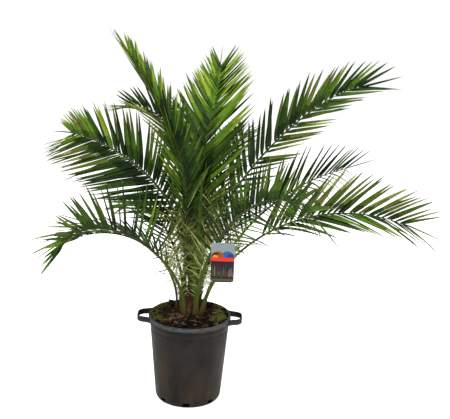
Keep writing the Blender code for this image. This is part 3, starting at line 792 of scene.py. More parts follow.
def spine_strips(arch):
    """The stiff green spines that stand on both sides of the stalk, longer higher up."""
    rng = dice("spines", int(arch.frond.name))
    count = max(int((SPINE_END - SPINE_START) * arch.length / SPINE_STEP), 4)
    sides = np.repeat([1.0, -1.0], count)
    total = len(sides)
    shares = np.tile(np.linspace(SPINE_START, SPINE_END, count), 2) + rng.normal(0.0, 0.006, total)
    rank = np.clip((shares - SPINE_START) / (SPINE_END - SPINE_START), 0.0, 1.0)
    lengths = (SHORTEST_SPINE + SPINE_GROWTH * rank ** 1.1) * rng.uniform(0.7, 1.25, total)
    lengths = np.where(sides < 0, lengths * SHORT_SPINES.get(arch.frond.name, 1.0), lengths)
    spread = np.radians(rng.normal(60.0, 16.0, total))
    lift = np.radians(rng.normal(24.0, 22.0, total))
    along, across, up = arch.frames(shares)
    sideways = across * (sides * np.cos(lift))[:, None] + up * np.sin(lift)[:, None]
    ways = lengths[:, None] * (along * np.cos(spread)[:, None] + sideways * np.sin(spread)[:, None])
    roots = at(arch.points, shares) + across * (sides * arch.half_width(shares) * 0.8)[:, None]
    widths = 0.0022 + 0.0026 * rank
    folds = np.radians(rng.uniform(35.0, 60.0, total))
    curls = rng.uniform(-0.05, 0.08, total)
    level = np.zeros(total)
    return folded_strips(roots, ways, along, up, widths, level + 0.01, curls, folds, level)


def spines_piece(arches, finishes):
    points, uvs = (np.concatenate(part) for part in zip(*map(spine_strips, arches)))
    kinds = dice("spine_tones").choice(len(finishes), size=len(points), p=(0.55, 0.45))
    grids_piece("spines", points, finishes, kinds, uvs)


def sheaf_piece(arch, finishes):
    """The youngest frond's lowest leaflets, still pressed upright against its stalk."""
    rng = dice("sheaf")
    shares = rng.uniform(0.03, 0.27, SHEAF_LEAVES)
    sides = np.where(rng.random(SHEAF_LEAVES) < 0.5, 1.0, -1.0)
    lift = rng.uniform(-1.0, 1.2, SHEAF_LEAVES)
    along, across, up = arch.frames(shares)
    spread = np.radians(rng.uniform(1.0, 6.5, SHEAF_LEAVES))
    sideways = unit(across * sides[:, None] + up * lift[:, None])
    ways = along * np.cos(spread)[:, None] + sideways * np.sin(spread)[:, None]
    ways = ways * rng.uniform(0.15, 0.30, SHEAF_LEAVES)[:, None]
    roots = at(arch.points, shares) + sideways * rng.uniform(0.006, 0.020, SHEAF_LEAVES)[:, None]
    widths = rng.uniform(0.010, 0.016, SHEAF_LEAVES)
    folds = np.radians(rng.uniform(10.0, 30.0, SHEAF_LEAVES))
    twists = np.radians(rng.normal(0.0, 25.0, SHEAF_LEAVES))
    level = np.zeros(SHEAF_LEAVES)
    points, uvs = folded_strips(roots, ways, sideways, up, widths, level, level + 0.01, folds, twists)
    kinds = rng.choice(len(finishes), size=SHEAF_LEAVES, p=(0.20, 0.45, 0.35))
    grids_piece("young_sheaf", points, finishes, kinds, uvs)


# ------------ ribs

def rib_section(half, thick, hollow):
    """A stalk's section: rounded below, and above flat or dished by hollow, from 0 to 1."""
    angle = full_turn(RIB_SIDES)
    x, y = np.cos(angle), np.sin(angle)
    top = np.where(y > 0, 1.0 - hollow * (1.0 - x ** 2), 1.0)
    return half * x, thick * np.where(y > 0, 0.75 * y * top, y)


def rib_piece(arch, finishes):
    """Stalk and rachis in one, dished at its foot."""
    name = arch.frond.name
    shares = np.concatenate([np.linspace(0.0, 0.10, 9)[:-1], np.linspace(0.10, 1.0, 46)])
    _, across, up = arch.frames(shares)
    rows = []
    for place, side, face, width, share in zip(at(arch.points, shares), across, up,
                                               arch.half_width(shares), shares):
        thick = width * (0.74 + 0.13 * min(share / 0.25, 1.0))
        x, y = rib_section(width, thick, max(DISH - share * DISH_FADE, 0.0))
        rows.append(place + x[:, None] * side + y[:, None] * face)
    band = np.repeat(shares[:-1], RIB_SIDES)
    indices = np.where(band < SHEATH_END, 0, np.where(band < LEAF_START, 1, 2))
    indices = np.append(indices, (0, 0))  # the two caps
    around_it = np.tile(np.linspace(0.0, 0.03, RIB_SIDES), len(shares))
    uvs = np.stack([around_it, np.repeat(shares * arch.length, RIB_SIDES)], axis=1)
    make_piece(f"frond_{name}_rib", rows, tube_faces(len(shares), RIB_SIDES), finishes,
               ["stalk_" + name], indices, uvs)


STALK_TONES = {
    "stalk_foot": ((0.050, 0.060, 0.011), (0.080, 0.024, 0.014)),
    "stalk_green": ((0.034, 0.058, 0.009), (0.058, 0.076, 0.014)),
    "rachis_dark": ((0.018, 0.044, 0.005), (0.026, 0.055, 0.007)),
    "rachis_grey": ((0.024, 0.034, 0.009), (0.050, 0.050, 0.020)),
    "spine_pale": ((0.270, 0.310, 0.085), (0.340, 0.320, 0.130)),
    "spine_green": ((0.085, 0.120, 0.026), (0.140, 0.155, 0.045)),
}


def make_fronds(arches):
    leaves = [leaf_material(name, colour) for name, colour in LEAF_COLOURS.items()]
    stalks = {name: stalk_material(name, *tones) for name, tones in STALK_TONES.items()}
    for arch in arches.values():
        leaflet_piece(arch, leaves)
        rachis = "rachis_dark" if arch.frond.name in YOUNGEST else "rachis_grey"
        rib_piece(arch, [stalks["stalk_foot"], stalks["stalk_green"], stalks[rachis]])
    spines_piece(arches.values(), [stalks["spine_pale"], stalks["spine_green"]])
    sheaf_piece(arches["02"], leaves[1:4])


# ------------ stem and spear


def lumps(points, scale, seed):
    """Smooth noise from about -1 to 1 at each point."""
    shift = Vector((seed * 7.3, seed * 3.1, seed * 5.7))
    return np.array([noise.noise(Vector(point) * scale + shift) for point in points])


def make_stem(finish):
    """The short trunk: a fibrous, ridged core."""
    rows, cols = 26, 96
    height = np.linspace(SOIL_TOP - 0.006, STEM_TOP, rows)
    share = np.linspace(0.0, 1.0, rows)
    radius = STEM_RADIUS * (1.03 - 0.25 * np.clip((share - 0.85) / 0.15, 0.0, 1.0) ** 2)
    verts = polar(radius[:, None], full_turn(cols), height[:, None]).reshape(-1, 3)
    relief = 0.0022 * lumps(verts * (1.0, 1.0, 0.25), 160.0, 1) + 0.0016 * lumps(verts, 60.0, 2)
    verts[:, :2] *= (1.0 + relief / STEM_RADIUS)[:, None]
    make_piece("stem_core", verts, tube_faces(rows, cols), [finish], ["stem"])


def sheath_points(angle, radius, foot, tall, wide, flare, rng):
    """One dried leaf base: a curved plate that hugs the stem and comes to a ragged point."""
    t = np.linspace(0.0, 1.0, 12)[:, None]
    s = np.linspace(-1.0, 1.0, 9)[None]
    half = wide / 2 * (1.0 - 0.86 * t ** 0.8)
    ragged = rng.normal(0.0, 0.0012, (t.size, s.size)) * t
    bulge = 0.004 * (1.0 - s ** 2) * (1.0 - t)
    reach = radius + flare * t ** 2.2 + bulge + ragged
    return polar(reach, angle + half * s / radius, foot + tall * t * (1.0 - 0.12 * s ** 2))


# Tiers of leaf bases: how many, their foot above the soil and their height
TIERS = ((7, -0.004, 0.034), (6, 0.010, 0.046), (6, 0.026, 0.056))


def make_sheaths(finishes):
    """Tiers of old leaf bases round the stem, the lower ones shorter, each with a finish drawn at random."""
    rng = dice("leaf_bases")
    sheets, kinds = [], []
    for tier, (count, foot, tall) in enumerate(TIERS):
        for k in range(count):
            angle = 2 * math.pi * (k + 0.5 * tier + rng.uniform(-0.2, 0.2)) / count
            wide = rng.uniform(0.034, 0.046)
            radius = STEM_RADIUS + 0.006 - 0.0018 * tier
            flare = rng.uniform(0.004, 0.012)
            height = tall * rng.uniform(0.8, 1.25)
            sheets.append(sheath_points(angle, radius, SOIL_TOP + foot, height, wide, flare, rng))
            kinds.append(int(rng.integers(0, len(finishes))))
    thicken(grids_piece("leaf_bases", np.array(sheets), finishes, kinds), 0.0016, 1.0)


def strands_piece(name, roots, aims, lengths, width, bend, finishes, rng):
    """Thin three-sided strands that bend at random."""
    t = np.linspace(0.0, 1.0, 7)
    sway = unit(rng.normal(0.0, 1.0, aims.shape))
    line = roots[:, None] + (lengths[:, None] * t)[..., None] * aims[:, None]
    line = line + bent(lengths * bend, t, sway[:, None])
    side = unit(np.cross(aims, sway))
    other = np.cross(aims, side)
    turn = full_turn(3)[:, None, None]
    thick = width / 2 * (1.0 - 0.8 * t)
    ring = np.cos(turn) * side + np.sin(turn) * other
    points = line[:, :, None] + thick[None, :, None, None] * np.moveaxis(ring, 0, 1)[:, None]
    kinds = rng.integers(0, len(finishes), len(roots))
    grids_piece(name, points, finishes, kinds, closed=True)


def make_fibres(finishes):
    """The net of loose fibres that comes out between the leaf bases."""
    rng = dice("fibres")
    angle = rng.uniform(0.0, 2 * np.pi, FIBRES)
    height = rng.uniform(SOIL_TOP, STEM_TOP + 0.01, FIBRES)
    ring = np.stack([np.cos(angle), np.sin(angle)], axis=1)
    roots = np.column_stack([ring * (STEM_RADIUS + 0.002), height])
    slant = rng.normal(0.0, 0.7, FIBRES)[:, None]
    sideways = np.stack([-ring[:, 1], ring[:, 0]], axis=1) * slant
    aims = unit(np.column_stack([ring * 0.35 + sideways, np.ones(FIBRES)]))
    lengths = rng.uniform(0.012, 0.042, FIBRES)
    strands_piece("stem_fibres", roots, aims, lengths, 0.0009, 0.3, finishes, rng)


def make_spear(finish):
    """The closed newest leaf: a slender pleated spindle."""
    rows, cols = 30, 20
    t = np.linspace(0.0, 1.0, rows)
    line = np.array(SPEAR_FOOT) * (1 - t)[:, None] + np.array(SPEAR_TIP) * t[:, None]
    line[:, 0] += 0.004 * np.sin(t * 3.0)
    aim = unit(np.array(SPEAR_TIP) - np.array(SPEAR_FOOT))
    side = unit(np.cross(aim, (0.0, 1.0, 0.0)))
    other = np.cross(aim, side)
    radius = SPEAR_RADIUS * (0.75 + 0.25 * np.sin(np.pi * t)) * (1.0 - t ** 4) + 0.0004
    pleat = np.where(np.arange(cols) % 2 == 0, 1.0, 0.72)
    twist = full_turn(cols)[None] + t[:, None] * 0.9
    reach = radius[:, None] * pleat[None]
    out_x, out_y = (reach * np.cos(twist))[..., None], (reach * np.sin(twist))[..., None]
    verts = line[:, None] + out_x * side + out_y * other
    uvs = np.stack([np.tile(np.linspace(0, 0.05, cols), rows), np.repeat(t * 0.45, cols)], axis=1)
    make_piece("spear_leaf", verts, tube_faces(rows, cols), [finish], ["spear"], None, uvs)


# ------------ soil and what lies on it


def soil_height(radius):
    """The mound's height at a distance from the axis."""
    places = (0.0, SEAT_RADIUS, 0.098, 0.121, 0.134, SOIL_RADIUS)
    heights = (SOIL_TOP, SOIL_TOP, SOIL_TOP - 0.002, SOIL_TOP - 0.0075, SOIL_EDGE + 0.0055, SOIL_EDGE)
    return np.interp(radius, places, heights)


def make_soil(finish):
    """The mound, with a short skirt down inside the pot as its last row."""
    rows, cols = 46, 160
    radius = np.linspace(0.004, SOIL_RADIUS, rows)[:, None]
    verts = polar(radius, full_turn(cols), soil_height(radius)).reshape(-1, 3)
    verts[:, 2] += 0.0042 * lumps(verts, 60.0, 3) + 0.0036 * lumps(verts, 170.0, 4)
    skirt = verts[-cols:] * (1.0, 1.0, 0.0) + (0.0, 0.0, SOIL_EDGE - 0.03)
    verts = np.concatenate([verts, skirt])
    make_piece("soil_surface", verts, tube_faces(rows + 1, cols), [finish], ["soil"])


def ball_mesh(level):
    made = bmesh.new()
    bmesh.ops.create_icosphere(made, subdivisions=level, radius=1.0)
    verts = np.array([v.co[:] for v in made.verts])
    faces = np.array([[v.index for v in f.verts] for f in made.faces])
    made.free()
    return verts, faces


def scatter_lumps(name, count, sizes, flatness, level, finishes):
    """Uneven lumps strewn over the soil; flatness holds their spreads of depth and height."""
    rng = dice(name)
    ball, ball_faces = ball_mesh(level)
    verts, faces, kinds = [], [], []
    for i in range(count):
        radius = math.sqrt(rng.uniform(STREWN[0] ** 2, STREWN[1] ** 2))
        angle = rng.uniform(0.0, 2 * math.pi)
        size = sizes[0] + (sizes[1] - sizes[0]) * rng.random() ** 2.2
        stretch = np.array([1.0, rng.uniform(*flatness[0]), rng.uniform(*flatness[1])])
        shape = ball * (1.0 + 0.28 * rng.normal(0.0, 1.0, len(ball)).clip(-1.5, 1.5)[:, None])
        shape = shape * stretch * size / 2
        turn = Matrix.Rotation(rng.uniform(0, 6.28), 3, "Z") @ Matrix.Rotation(rng.normal(0, 0.35), 3, "X")
        shape = shape @ np.array(turn).T
        lift = size * stretch[2] * rng.uniform(0.05, 0.40)
        verts.append(shape + polar(radius, angle, float(soil_height(radius))) + (0.0, 0.0, lift))
        faces.append(ball_faces + i * len(ball))
        kinds.append(int(rng.integers(0, len(finishes))))
    indices = np.repeat(kinds, len(ball_faces))
    make_piece(name, np.concatenate(verts), np.concatenate(faces), finishes, (), indices)


# Patches of moss near the rim: angle, radius, the arc it covers (degrees) and its spread
MOSS_PATCHES = ((178, 0.127, 36, 0.010), (206, 0.127, 26, 0.009), (150, 0.126, 16, 0.010),
                (2, 0.118, 36, 0.014), (338, 0.116, 22, 0.012), (30, 0.120, 20, 0.010),
                (95, 0.118, 22, 0.010))


def make_moss(finishes):
    """Low green growth near the rim, in round tufts."""
    rng = dice("moss")
    roots = []
    for angle, radius, width, spread in MOSS_PATCHES:
        for _ in range(TUFTS):
            a = math.radians(rng.normal(angle, width / 2))
            r = float(np.clip(rng.normal(radius, spread), 0.05, 0.137))
            ball = unit(rng.normal(0.0, 1.0, (TUFT_BLADES, 3))) * rng.uniform(0.005, 0.0105)
            ball[:, 2] = np.abs(ball[:, 2]) * rng.uniform(0.7, 1.3)
            roots.append(polar(r, a, float(soil_height(r))) + ball)
    roots = np.concatenate(roots)
    aims = unit(rng.normal(0.0, 0.6, roots.shape) + (0.0, 0.0, 0.8))
    lengths = rng.uniform(0.003, 0.007, len(roots))
    strands_piece("moss", roots, aims, lengths, 0.0016, 0.4, finishes, rng)


def make_straws(finishes):
    """Pale roots and straws that lie on the soil, many of them in front."""
    rng = dice("straws")
    angle = np.where(rng.random(STRAWS) < 0.45, rng.normal(math.radians(238), 0.45, STRAWS),
                     rng.uniform(0.0, 2 * np.pi, STRAWS))
    radius = np.sqrt(rng.uniform(0.045 ** 2, 0.128 ** 2, STRAWS))
    roots = polar(radius, angle, soil_height(radius) + 0.0060)
    way = rng.uniform(0.0, 2 * np.pi, STRAWS)
    aims = unit(polar(1.0, way, rng.normal(0.02, 0.08, STRAWS)))
    lengths = rng.uniform(0.010, 0.030, STRAWS)
    ends = np.linalg.norm((roots + aims * lengths[:, None])[:, :2], axis=1)
    aims[ends > 0.134, :2] *= -1.0  # those that would reach the pot point inward instead
    strands_piece("straws", roots, aims, lengths, 0.0016, 0.25, finishes, rng)


# ------------ pot and handles


def pot_profile():
    """The pot's section from the rim's top down its outside, under it and up its inside."""
    collar_foot = POT_HEIGHT - COLLAR_DEPTH
    under = POT_HEIGHT - RIM_DEPTH
    slope = (WALL_TOP_RADIUS - WALL_FOOT_RADIUS) / (collar_foot - FOOT_ROUND)
    outer = arc((RIM_RADIUS - LIP, POT_HEIGHT - LIP), LIP, 90, 0, 6)
    outer += arc((RIM_RADIUS - RIM_EDGE, under + RIM_EDGE), RIM_EDGE, 0, -90, 3)
    outer += [(COLLAR_RADIUS + BEVEL, under), (COLLAR_RADIUS, under - BEVEL)]
    outer += arc((COLLAR_RADIUS - COLLAR_EDGE, collar_foot + 0.0048), COLLAR_EDGE, 0, -80, 4)
    outer += [(WALL_TOP_RADIUS + 0.0006, collar_foot + 0.0020), (WALL_TOP_RADIUS, collar_foot)]
    for drop in GROOVES:
        z = collar_foot - drop
        radius = WALL_TOP_RADIUS - slope * drop
        outer += [(radius, z + BEVEL), (radius - GROOVE_DEPTH, z), (radius, z - BEVEL)]
    outer += [(WALL_FOOT_RADIUS + slope * rise, FOOT_ROUND + rise) for rise in WALL_MARKS]
    for turn in np.radians(np.linspace(0.0, 90.0, FOOT_STEPS + 1)):
        across = (WALL_FOOT_RADIUS - FOOT_RADIUS) * (1.0 - math.cos(turn))
        outer.append((WALL_FOOT_RADIUS - across, FOOT_ROUND * (1.0 - math.sin(turn))))
    inner_foot, inner_top = WALL_FOOT_RADIUS - WALL, WALL_TOP_RADIUS - WALL
    edge = POT_HEIGHT - INNER_EDGE
    inside = [(HOLLOW_RADIUS, 0.0), (HOLLOW_RADIUS - 0.0010, HOLLOW), (AXIS_GAP, HOLLOW), (AXIS_GAP, BASE)]
    inside += [(FOOT_RADIUS - WALL, BASE), (inner_foot, FOOT_ROUND + 0.004), (inner_top, collar_foot)]
    inside.append((inner_top + 0.0002, edge))
    inside += arc((inner_top + 0.0002 + INNER_EDGE, edge), INNER_EDGE, 180, 90, 3)
    return outer + inside


def turned_mesh(name, profile, cols):
    """A ring: the profile turned round the axis, its last point joined to its first."""
    rows = len(profile)
    ring = np.array(profile)
    verts = polar(ring[:, :1], full_turn(cols), ring[:, 1:])
    last = (rows - 1) * cols
    join = [(last + k, last + (k + 1) % cols, (k + 1) % cols, k) for k in range(cols)]
    mesh = bpy.data.meshes.new(name)
    faces = grid_faces(1, rows, cols, closed=True).tolist() + join
    mesh.from_pydata(verts.reshape(-1, 3).tolist(), [], faces)
    face_outward(mesh)
    return mesh


def notch_cutter():
    made = bmesh.new()
    tall = NOTCH_TOP - NOTCH_BOTTOM
    for i in range(NOTCHES):
        turn = Matrix.Rotation(math.tau * i / NOTCHES, 4, "Z")
        middle = Matrix.Translation((WALL_FOOT_RADIUS - NOTCH_INSET, 0.0, NOTCH_BOTTOM + tall / 2))
        size = Matrix.Diagonal((NOTCH_REACH, NOTCH_WIDTH, tall, 1.0))
        bmesh.ops.create_cube(made, size=1.0, matrix=turn @ middle @ size)
    mesh = bpy.data.meshes.new("notch_cutter")
    made.to_mesh(mesh)
    made.free()
    return new_object("notch_cutter", mesh)


def make_pot(finish):
    pot = new_object("pot", turned_mesh("pot", pot_profile(), POT_COLS))
    cutter = notch_cutter()
    cut = pot.modifiers.new("drain_slots", "BOOLEAN")
    cut.operation = "DIFFERENCE"
    cut.solver = "EXACT"
    cut.object = cutter
    graph = bpy.context.evaluated_depsgraph_get()
    mesh = bpy.data.meshes.new_from_object(pot.evaluated_get(graph))
    pot.modifiers.clear()
    pot.data = mesh
    bpy.data.objects.remove(cutter, do_unlink=True)
    mesh.materials.clear()
    mesh.materials.append(finish)
    mesh.shade_smooth()
    mesh.set_sharp_from_angle(angle=math.radians(POT_SHARP))
    adopt(pot, ["pot_body"])


def strap_line():
    """The middle of a handle's strap from above, with its ends just inside the collar."""
    inset = STRAP_THICK / 2
    reach = RIM_RADIUS + HANDLE_REACH - inset
    half = HANDLE_HALF - inset
    corner = HANDLE_CORNER - inset
    end_half = half - HANDLE_NARROWING
    root_x = math.sqrt((COLLAR_RADIUS - STRAP_SUNK) ** 2 - half ** 2)
    front = [(root_x, -half)] + arc((reach - corner, corner - end_half), corner, -90, 0, 9)
    return np.array(front + [(x, -y) for x, y in reversed(front)])


def make_handle(node, side, finish):
    """A rounded strap swept round the handle's line."""
    line = strap_line()
    tangent = unit(np.gradient(line, axis=0))
    outward = np.stack([tangent[:, 1], -tangent[:, 0]], axis=1)
    section = np.array(rounded_rectangle(STRAP_THICK, STRAP_TALL, STRAP_EDGE, 3))
    flat = (line[:, None] + outward[:, None] * section[:, :1]) * (side, 1.0)
    height = np.broadcast_to(STRAP_TOP - STRAP_TALL / 2 + section[:, 1:], (*flat.shape[:2], 1))
    verts = np.concatenate([flat, height], axis=2)
    faces = tube_faces(len(line), len(section))
    strap = make_piece(node + "_strap", verts, faces, [finish], [node])
    face_outward(strap.data)
    strap.data.set_sharp_from_angle(angle=math.radians(STRAP_SHARP))


# ------------ tag

def card_place(x, z, lift):
    """A point on the slightly curled card, from its own x and z, lifted off its front."""
    curl = 0.9 * x ** 2 + 0.25 * max(-z, 0.0) ** 2
    return (TAG_CENTRE[0] + x, TAG_CENTRE[1] + curl - lift, TAG_CENTRE[2] + z)


def panel(name, low, high, finish, lift, corner=0.0):
    """A printed area of the card between two corners, bent with the card."""
    rows, cols = 7, 9
    xs = np.linspace(low[0], high[0], cols)
    middle = (low[0] + high[0]) / 2
    verts = []
    for z in np.linspace(low[1], high[1], rows):
        edge = min(z - low[1], high[1] - z)
        pull = corner - math.sqrt(max(corner ** 2 - max(corner - edge, 0.0) ** 2, 0.0)) if corner else 0.0
        squeeze = 1.0 - 2 * pull / (high[0] - low[0])
        verts += [card_place(middle + (x - middle) * squeeze, z, lift) for x in xs]
    make_piece(name, verts, grid_faces(1, rows, cols), [finish])


def half_disc(name, middle, radius, finish, lift):
    """A printed half disc that stands on the horizon."""
    centre = (middle, HORIZON + 0.0002)
    rim = arc(centre, radius, 0.0, 180.0, 28)
    verts = [card_place(x, z, lift) for x, z in [centre] + rim]
    make_piece(name, verts, [(0, i, i + 1) for i in range(1, len(rim))], [finish])


INKS = {
    "sky": (0.165, 0.200, 0.200), "haze": (0.120, 0.165, 0.200), "sun": (0.210, 0.055, 0.010),
    "glow": (0.420, 0.190, 0.020), "red": (0.480, 0.030, 0.018), "plum": (0.020, 0.006, 0.008),
    "blue": (0.030, 0.070, 0.230), "olive": (0.060, 0.060, 0.022), "tan": (0.230, 0.180, 0.130),
    "violet": (0.130, 0.110, 0.160), "leaf": (0.040, 0.055, 0.016), "dusk": (0.016, 0.012, 0.014),
    "rust": (0.090, 0.035, 0.020), "deep": (0.014, 0.034, 0.120),
}
BAR_INKS = ("tan", "violet", "leaf", "rust", "violet", "olive")


def make_tag(arch):
    """A plastic card with a made-up print: sky, a low sun, a red band and upright bars."""
    outline = rounded_rectangle(TAG_WIDTH, TAG_TALL, TAG_CORNER, 5)
    rings = (0.02, 0.35, 0.7, 1.0)
    verts = [card_place(x * k, z * k, TAG_THICK / 2) for k in rings for x, z in outline]
    cols = len(outline)
    faces = [*grid_faces(1, len(rings), cols, closed=True), range(cols)]
    white = print_material("card_back", (0.30, 0.30, 0.29))
    thicken(make_piece("tag_card", verts, faces, [white], ["tag"]), TAG_THICK, 0.0)

    inks = {key: print_material("ink_" + key, colour) for key, colour in INKS.items()}
    half_w, half_t = TAG_WIDTH / 2 - 0.0004, TAG_TALL / 2 - 0.0004
    first, step = TAG_THICK + 0.0002, 0.00012  # the lift of the lowest ink and of each one over it
    over = first + step
    panel("tag_sky", (-half_w, HORIZON), (half_w, half_t), inks["sky"], first, TAG_CORNER)
    panel("tag_ground", (-half_w, -half_t), (half_w, 0.010), inks["dusk"], first, TAG_CORNER)
    panel("tag_haze", (-half_w, HORIZON), (half_w, 0.034), inks["haze"], over)
    for i, (middle, radius, key) in enumerate(TAG_DISCS):
        half_disc(f"tag_disc_{i}", middle, radius, inks[key], first + step * (2 + i))
    panel("tag_band", (-TAG_WIDTH / 2, BAND_FOOT), (TAG_WIDTH / 2, HORIZON), inks["red"], first + step * 4)
    panel("tag_line", (-half_w, -0.002), (half_w, BAND_FOOT), inks["plum"], over)
    rng = dice("tag")
    pitch = 2 * half_w / TAG_BARS
    for i in range(TAG_BARS):
        left = -half_w + (i + rng.uniform(0.10, 0.30)) * pitch
        low, top = -0.058 + 0.012 * rng.random(), -0.008 - 0.026 * rng.random()
        key = BAR_INKS[int(rng.integers(0, len(BAR_INKS)))]
        wide = pitch * rng.uniform(0.35, 0.65)
        panel(f"tag_bar_{i:02d}", (left, low), (left + wide, top), inks[key], over, 0.0010)
    panel("tag_foot", (-half_w, -0.066), (half_w, -0.058), inks["olive"], over)
    make_strap(arch, inks["sky"])


def make_strap(arch, finish):
    """A narrow strap from the card's top corner round the stalk that carries it."""
    ring, along = (at(rows, [LOOP_FRACTION])[0] for rows in (arch.points, arch.along))
    side = unit(np.cross(along, (0.0, 0.0, 1.0)))
    top = np.cross(side, along)
    turn = np.radians(np.linspace(0.0, 360.0, 25))[:, None]
    middle = ring + (np.cos(turn) * side + np.sin(turn) * top) * STRAP_RADIUS
    corner = np.array(card_place(-0.026, TAG_TALL / 2 - 0.010, 0.001))
    t = np.linspace(0.0, 1.0, 8)[:, None]
    line = (ring - top * STRAP_RADIUS) * (1 - t) + corner * t
    for name, path, across, stands_for in (("tag_band_loop", middle, along, ["tag_loop"]),
                                           ("tag_tie", line, np.array([1.0, 0.0, 0.0]), ())):
        verts = np.stack([path - across * STRAP_HALF, path + across * STRAP_HALF], axis=1)
        faces = grid_faces(1, len(path), 2)
        thicken(make_piece(name, verts, faces, [finish], stands_for), STRAP_THIN)


# ------------ studio

def make_camera():
    scene = bpy.context.scene
    scene.view_settings.view_transform = "Standard"
    scene.view_settings.look = "None"
    data = bpy.data.cameras.new("camera")
    data.lens = CAMERA_LENS
    data.sensor_width = SENSOR
    data.clip_end = 100.0
    camera = new_object("camera", data)
    turn = Matrix.Rotation(math.radians(90.0 - CAMERA_PITCH), 4, "X")
    roll = Matrix.Rotation(math.radians(CAMERA_ROLL), 4, "Z")
    camera.matrix_world = Matrix.Translation(CAMERA_PLACE) @ turn @ roll
    scene.camera = camera


def make_floor():
    """A wide pale disc just under the pot, which glows a little so that it stays white."""
    mesh = bpy.data.meshes.new("floor")
    rim = polar(16.0, full_turn(95), -0.0004)
    mesh.from_pydata(rim.tolist(), [], [range(len(rim))])
    graph = Graph("floor_pale")
    haze = graph.noise(graph.coords(), 3.0, 3.0)
    tint = graph.mix(graph.spread(haze, 0.0, 1.0), (0.90, 0.90, 0.90), (0.93, 0.93, 0.93))
    graph.shader.inputs["Emission Color"].default_value = (1.0, 1.0, 1.0, 1.0)
    graph.shader.inputs["Emission Strength"].default_value = FLOOR_GLOW
    mesh.materials.append(graph.finish(tint, graph.spread(haze, 0.85, 0.95), FLOOR_GLOSS))
    floor = new_object("floor", mesh)


def make_world():
    """White all round: BACKDROP where the camera sees it and AMBIENT as light."""
    world = bpy.data.worlds.new("studio")
    world.use_nodes = True
    nodes, links = world.node_tree.nodes, world.node_tree.links
    background = nodes["Background"]
    background.inputs["Color"].default_value = (1.0, 1.0, 1.0, 1.0)
    seen = nodes.new("ShaderNodeLightPath")
    strength = nodes.new("ShaderNodeMapRange")
    strength.inputs["To Min"].default_value = AMBIENT
    strength.inputs["To Max"].default_value = BACKDROP
    links.new(seen.outputs["Is Camera Ray"], strength.inputs["Value"])
    links.new(strength.outputs["Result"], background.inputs["Strength"])
    bpy.context.scene.world = world


# name, place, aim, size, power, colour
LAMPS = (
    ("key", (-1.4, -2.4, 3.4), (0.0, 0.0, 0.7), 1.4, 150.0, (1.0, 0.99, 0.96)),
    ("top", (0.4, 0.4, 3.8), (0.0, 0.0, 0.6), 2.0, 110.0, (1.0, 1.0, 0.98)),
    ("fill", (2.8, -1.6, 1.8), (0.0, 0.0, 0.5), 2.0, 40.0, (1.0, 1.0, 1.0)),
)


def make_lamps():
    for name, place, aim, size, power, colour in LAMPS:
        data = bpy.data.lights.new(name, "AREA")
        data.shape = "DISK"
        data.size = size
        data.energy = power
        data.color = colour
        lamp = new_object(name, data)
        lamp.location = place
        lamp.rotation_euler = (Vector(aim) - Vector(place)).to_track_quat("-Z", "Y").to_euler()


# ------------ the whole plant

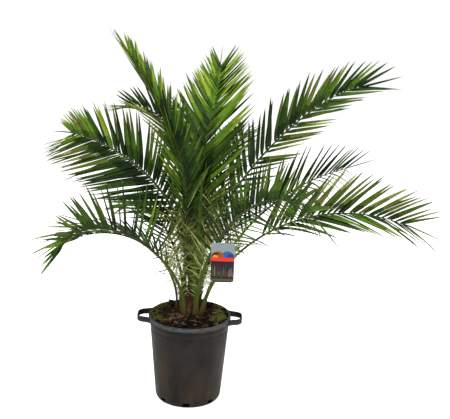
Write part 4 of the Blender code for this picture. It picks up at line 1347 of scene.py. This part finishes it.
# Two tones, the scale of the mottle and the height of the grain
ROUGH_TONES = {
    "stem_core": ((0.022, 0.012, 0.008), (0.060, 0.026, 0.016), 60.0, 0.0015),
    "dry_sheath": ((0.230, 0.165, 0.080), (0.150, 0.090, 0.042), 55.0, 0.0006),
    "rust_sheath": ((0.085, 0.032, 0.018), (0.045, 0.020, 0.012), 55.0, 0.0006),
    "green_sheath": ((0.050, 0.062, 0.012), (0.095, 0.075, 0.025), 40.0, 0.0006),
    "pale_fibre": ((0.220, 0.160, 0.085), (0.130, 0.085, 0.045), 90.0, 0.0002),
    "red_fibre": ((0.120, 0.036, 0.024), (0.070, 0.026, 0.018), 90.0, 0.0002),
    "compost": ((0.0045, 0.0032, 0.0024), (0.014, 0.009, 0.006), 120.0, 0.0030),
    "clods": ((0.018, 0.011, 0.007), (0.048, 0.028, 0.016), 150.0, 0.0014),
    "bark_chips": ((0.085, 0.042, 0.024), (0.160, 0.090, 0.052), 110.0, 0.0008),
    "straw": ((0.420, 0.300, 0.200), (0.220, 0.140, 0.090), 80.0, 0.0002),
    "moss_green": ((0.085, 0.112, 0.020), (0.140, 0.160, 0.036), 120.0, 0.0002),
    "moss_olive": ((0.220, 0.215, 0.075), (0.110, 0.115, 0.032), 120.0, 0.0002),
}
# Charcoal, and the pot's dusty grey, which on the handles also gives their scuffs and the painted highlight
# of their upper band
CHARCOAL, DUST_AND_SHEEN = (0.0062, 0.0060, 0.0058), (0.0130, 0.0125, 0.0120)
# Dried soil, and the paler grey of scuffs and of the rim's top band, which is both worn and a painted
# highlight
DIRT, WEAR_AND_SHEEN = (0.0240, 0.0155, 0.0095), (0.058, 0.060, 0.064)
# The handles' black, and the paler blue-grey of their patches, which is a painted highlight
STRAP_BLACK, STRAP_SHEEN = (0.007, 0.007, 0.008), (0.036, 0.038, 0.046)


def make_middle(rough):
    """The stem with its leaf bases and fibres, and the spear."""
    make_stem(rough["stem_core"])
    make_sheaths([rough["dry_sheath"], rough["rust_sheath"], rough["green_sheath"]])
    make_fibres([rough["pale_fibre"], rough["red_fibre"], rough["red_fibre"]])
    make_spear(leaf_material("spear_green", (0.030, 0.060, 0.007)))


def make_ground(rough):
    """The soil and what lies and grows on it."""
    compost, clod, bark = rough["compost"], rough["clods"], rough["bark_chips"]
    make_soil(compost)
    chunky, flaky = ((0.6, 1.0), (0.5, 0.9)), ((0.35, 0.7), (0.15, 0.32))
    scatter_lumps("soil_clods", 620, (0.006, 0.022), chunky, 2, [compost, clod])
    scatter_lumps("soil_crumbs", 1900, (0.0015, 0.006), chunky, 1, [compost, clod, bark])
    scatter_lumps("bark_chips", 90, (0.006, 0.018), flaky, 2, [bark, clod])
    make_moss([rough["moss_green"], rough["moss_olive"]])
    make_straws([rough["straw"], bark])


def make_container():
    make_pot(pot_material("charcoal_plastic", CHARCOAL, DUST_AND_SHEEN, DIRT, WEAR_AND_SHEEN))
    # On the handles the paler patches and the paler upper band are painted highlight
    strap = pot_material("handle_plastic", STRAP_BLACK, STRAP_SHEEN, CHARCOAL, DUST_AND_SHEEN)
    make_handle("handle_left", -1, strap)
    make_handle("handle_right", 1, strap)


def main():
    make_camera()
    make_floor()
    make_world()
    make_lamps()
    arches = {frond.name: Arch(frond) for frond in FRONDS}
    rough = {name: rough_material(name, *values) for name, values in ROUGH_TONES.items()}
    make_fronds(arches)
    make_middle(rough)
    make_ground(rough)
    make_container()
    make_tag(arches[TAGGED])


main()
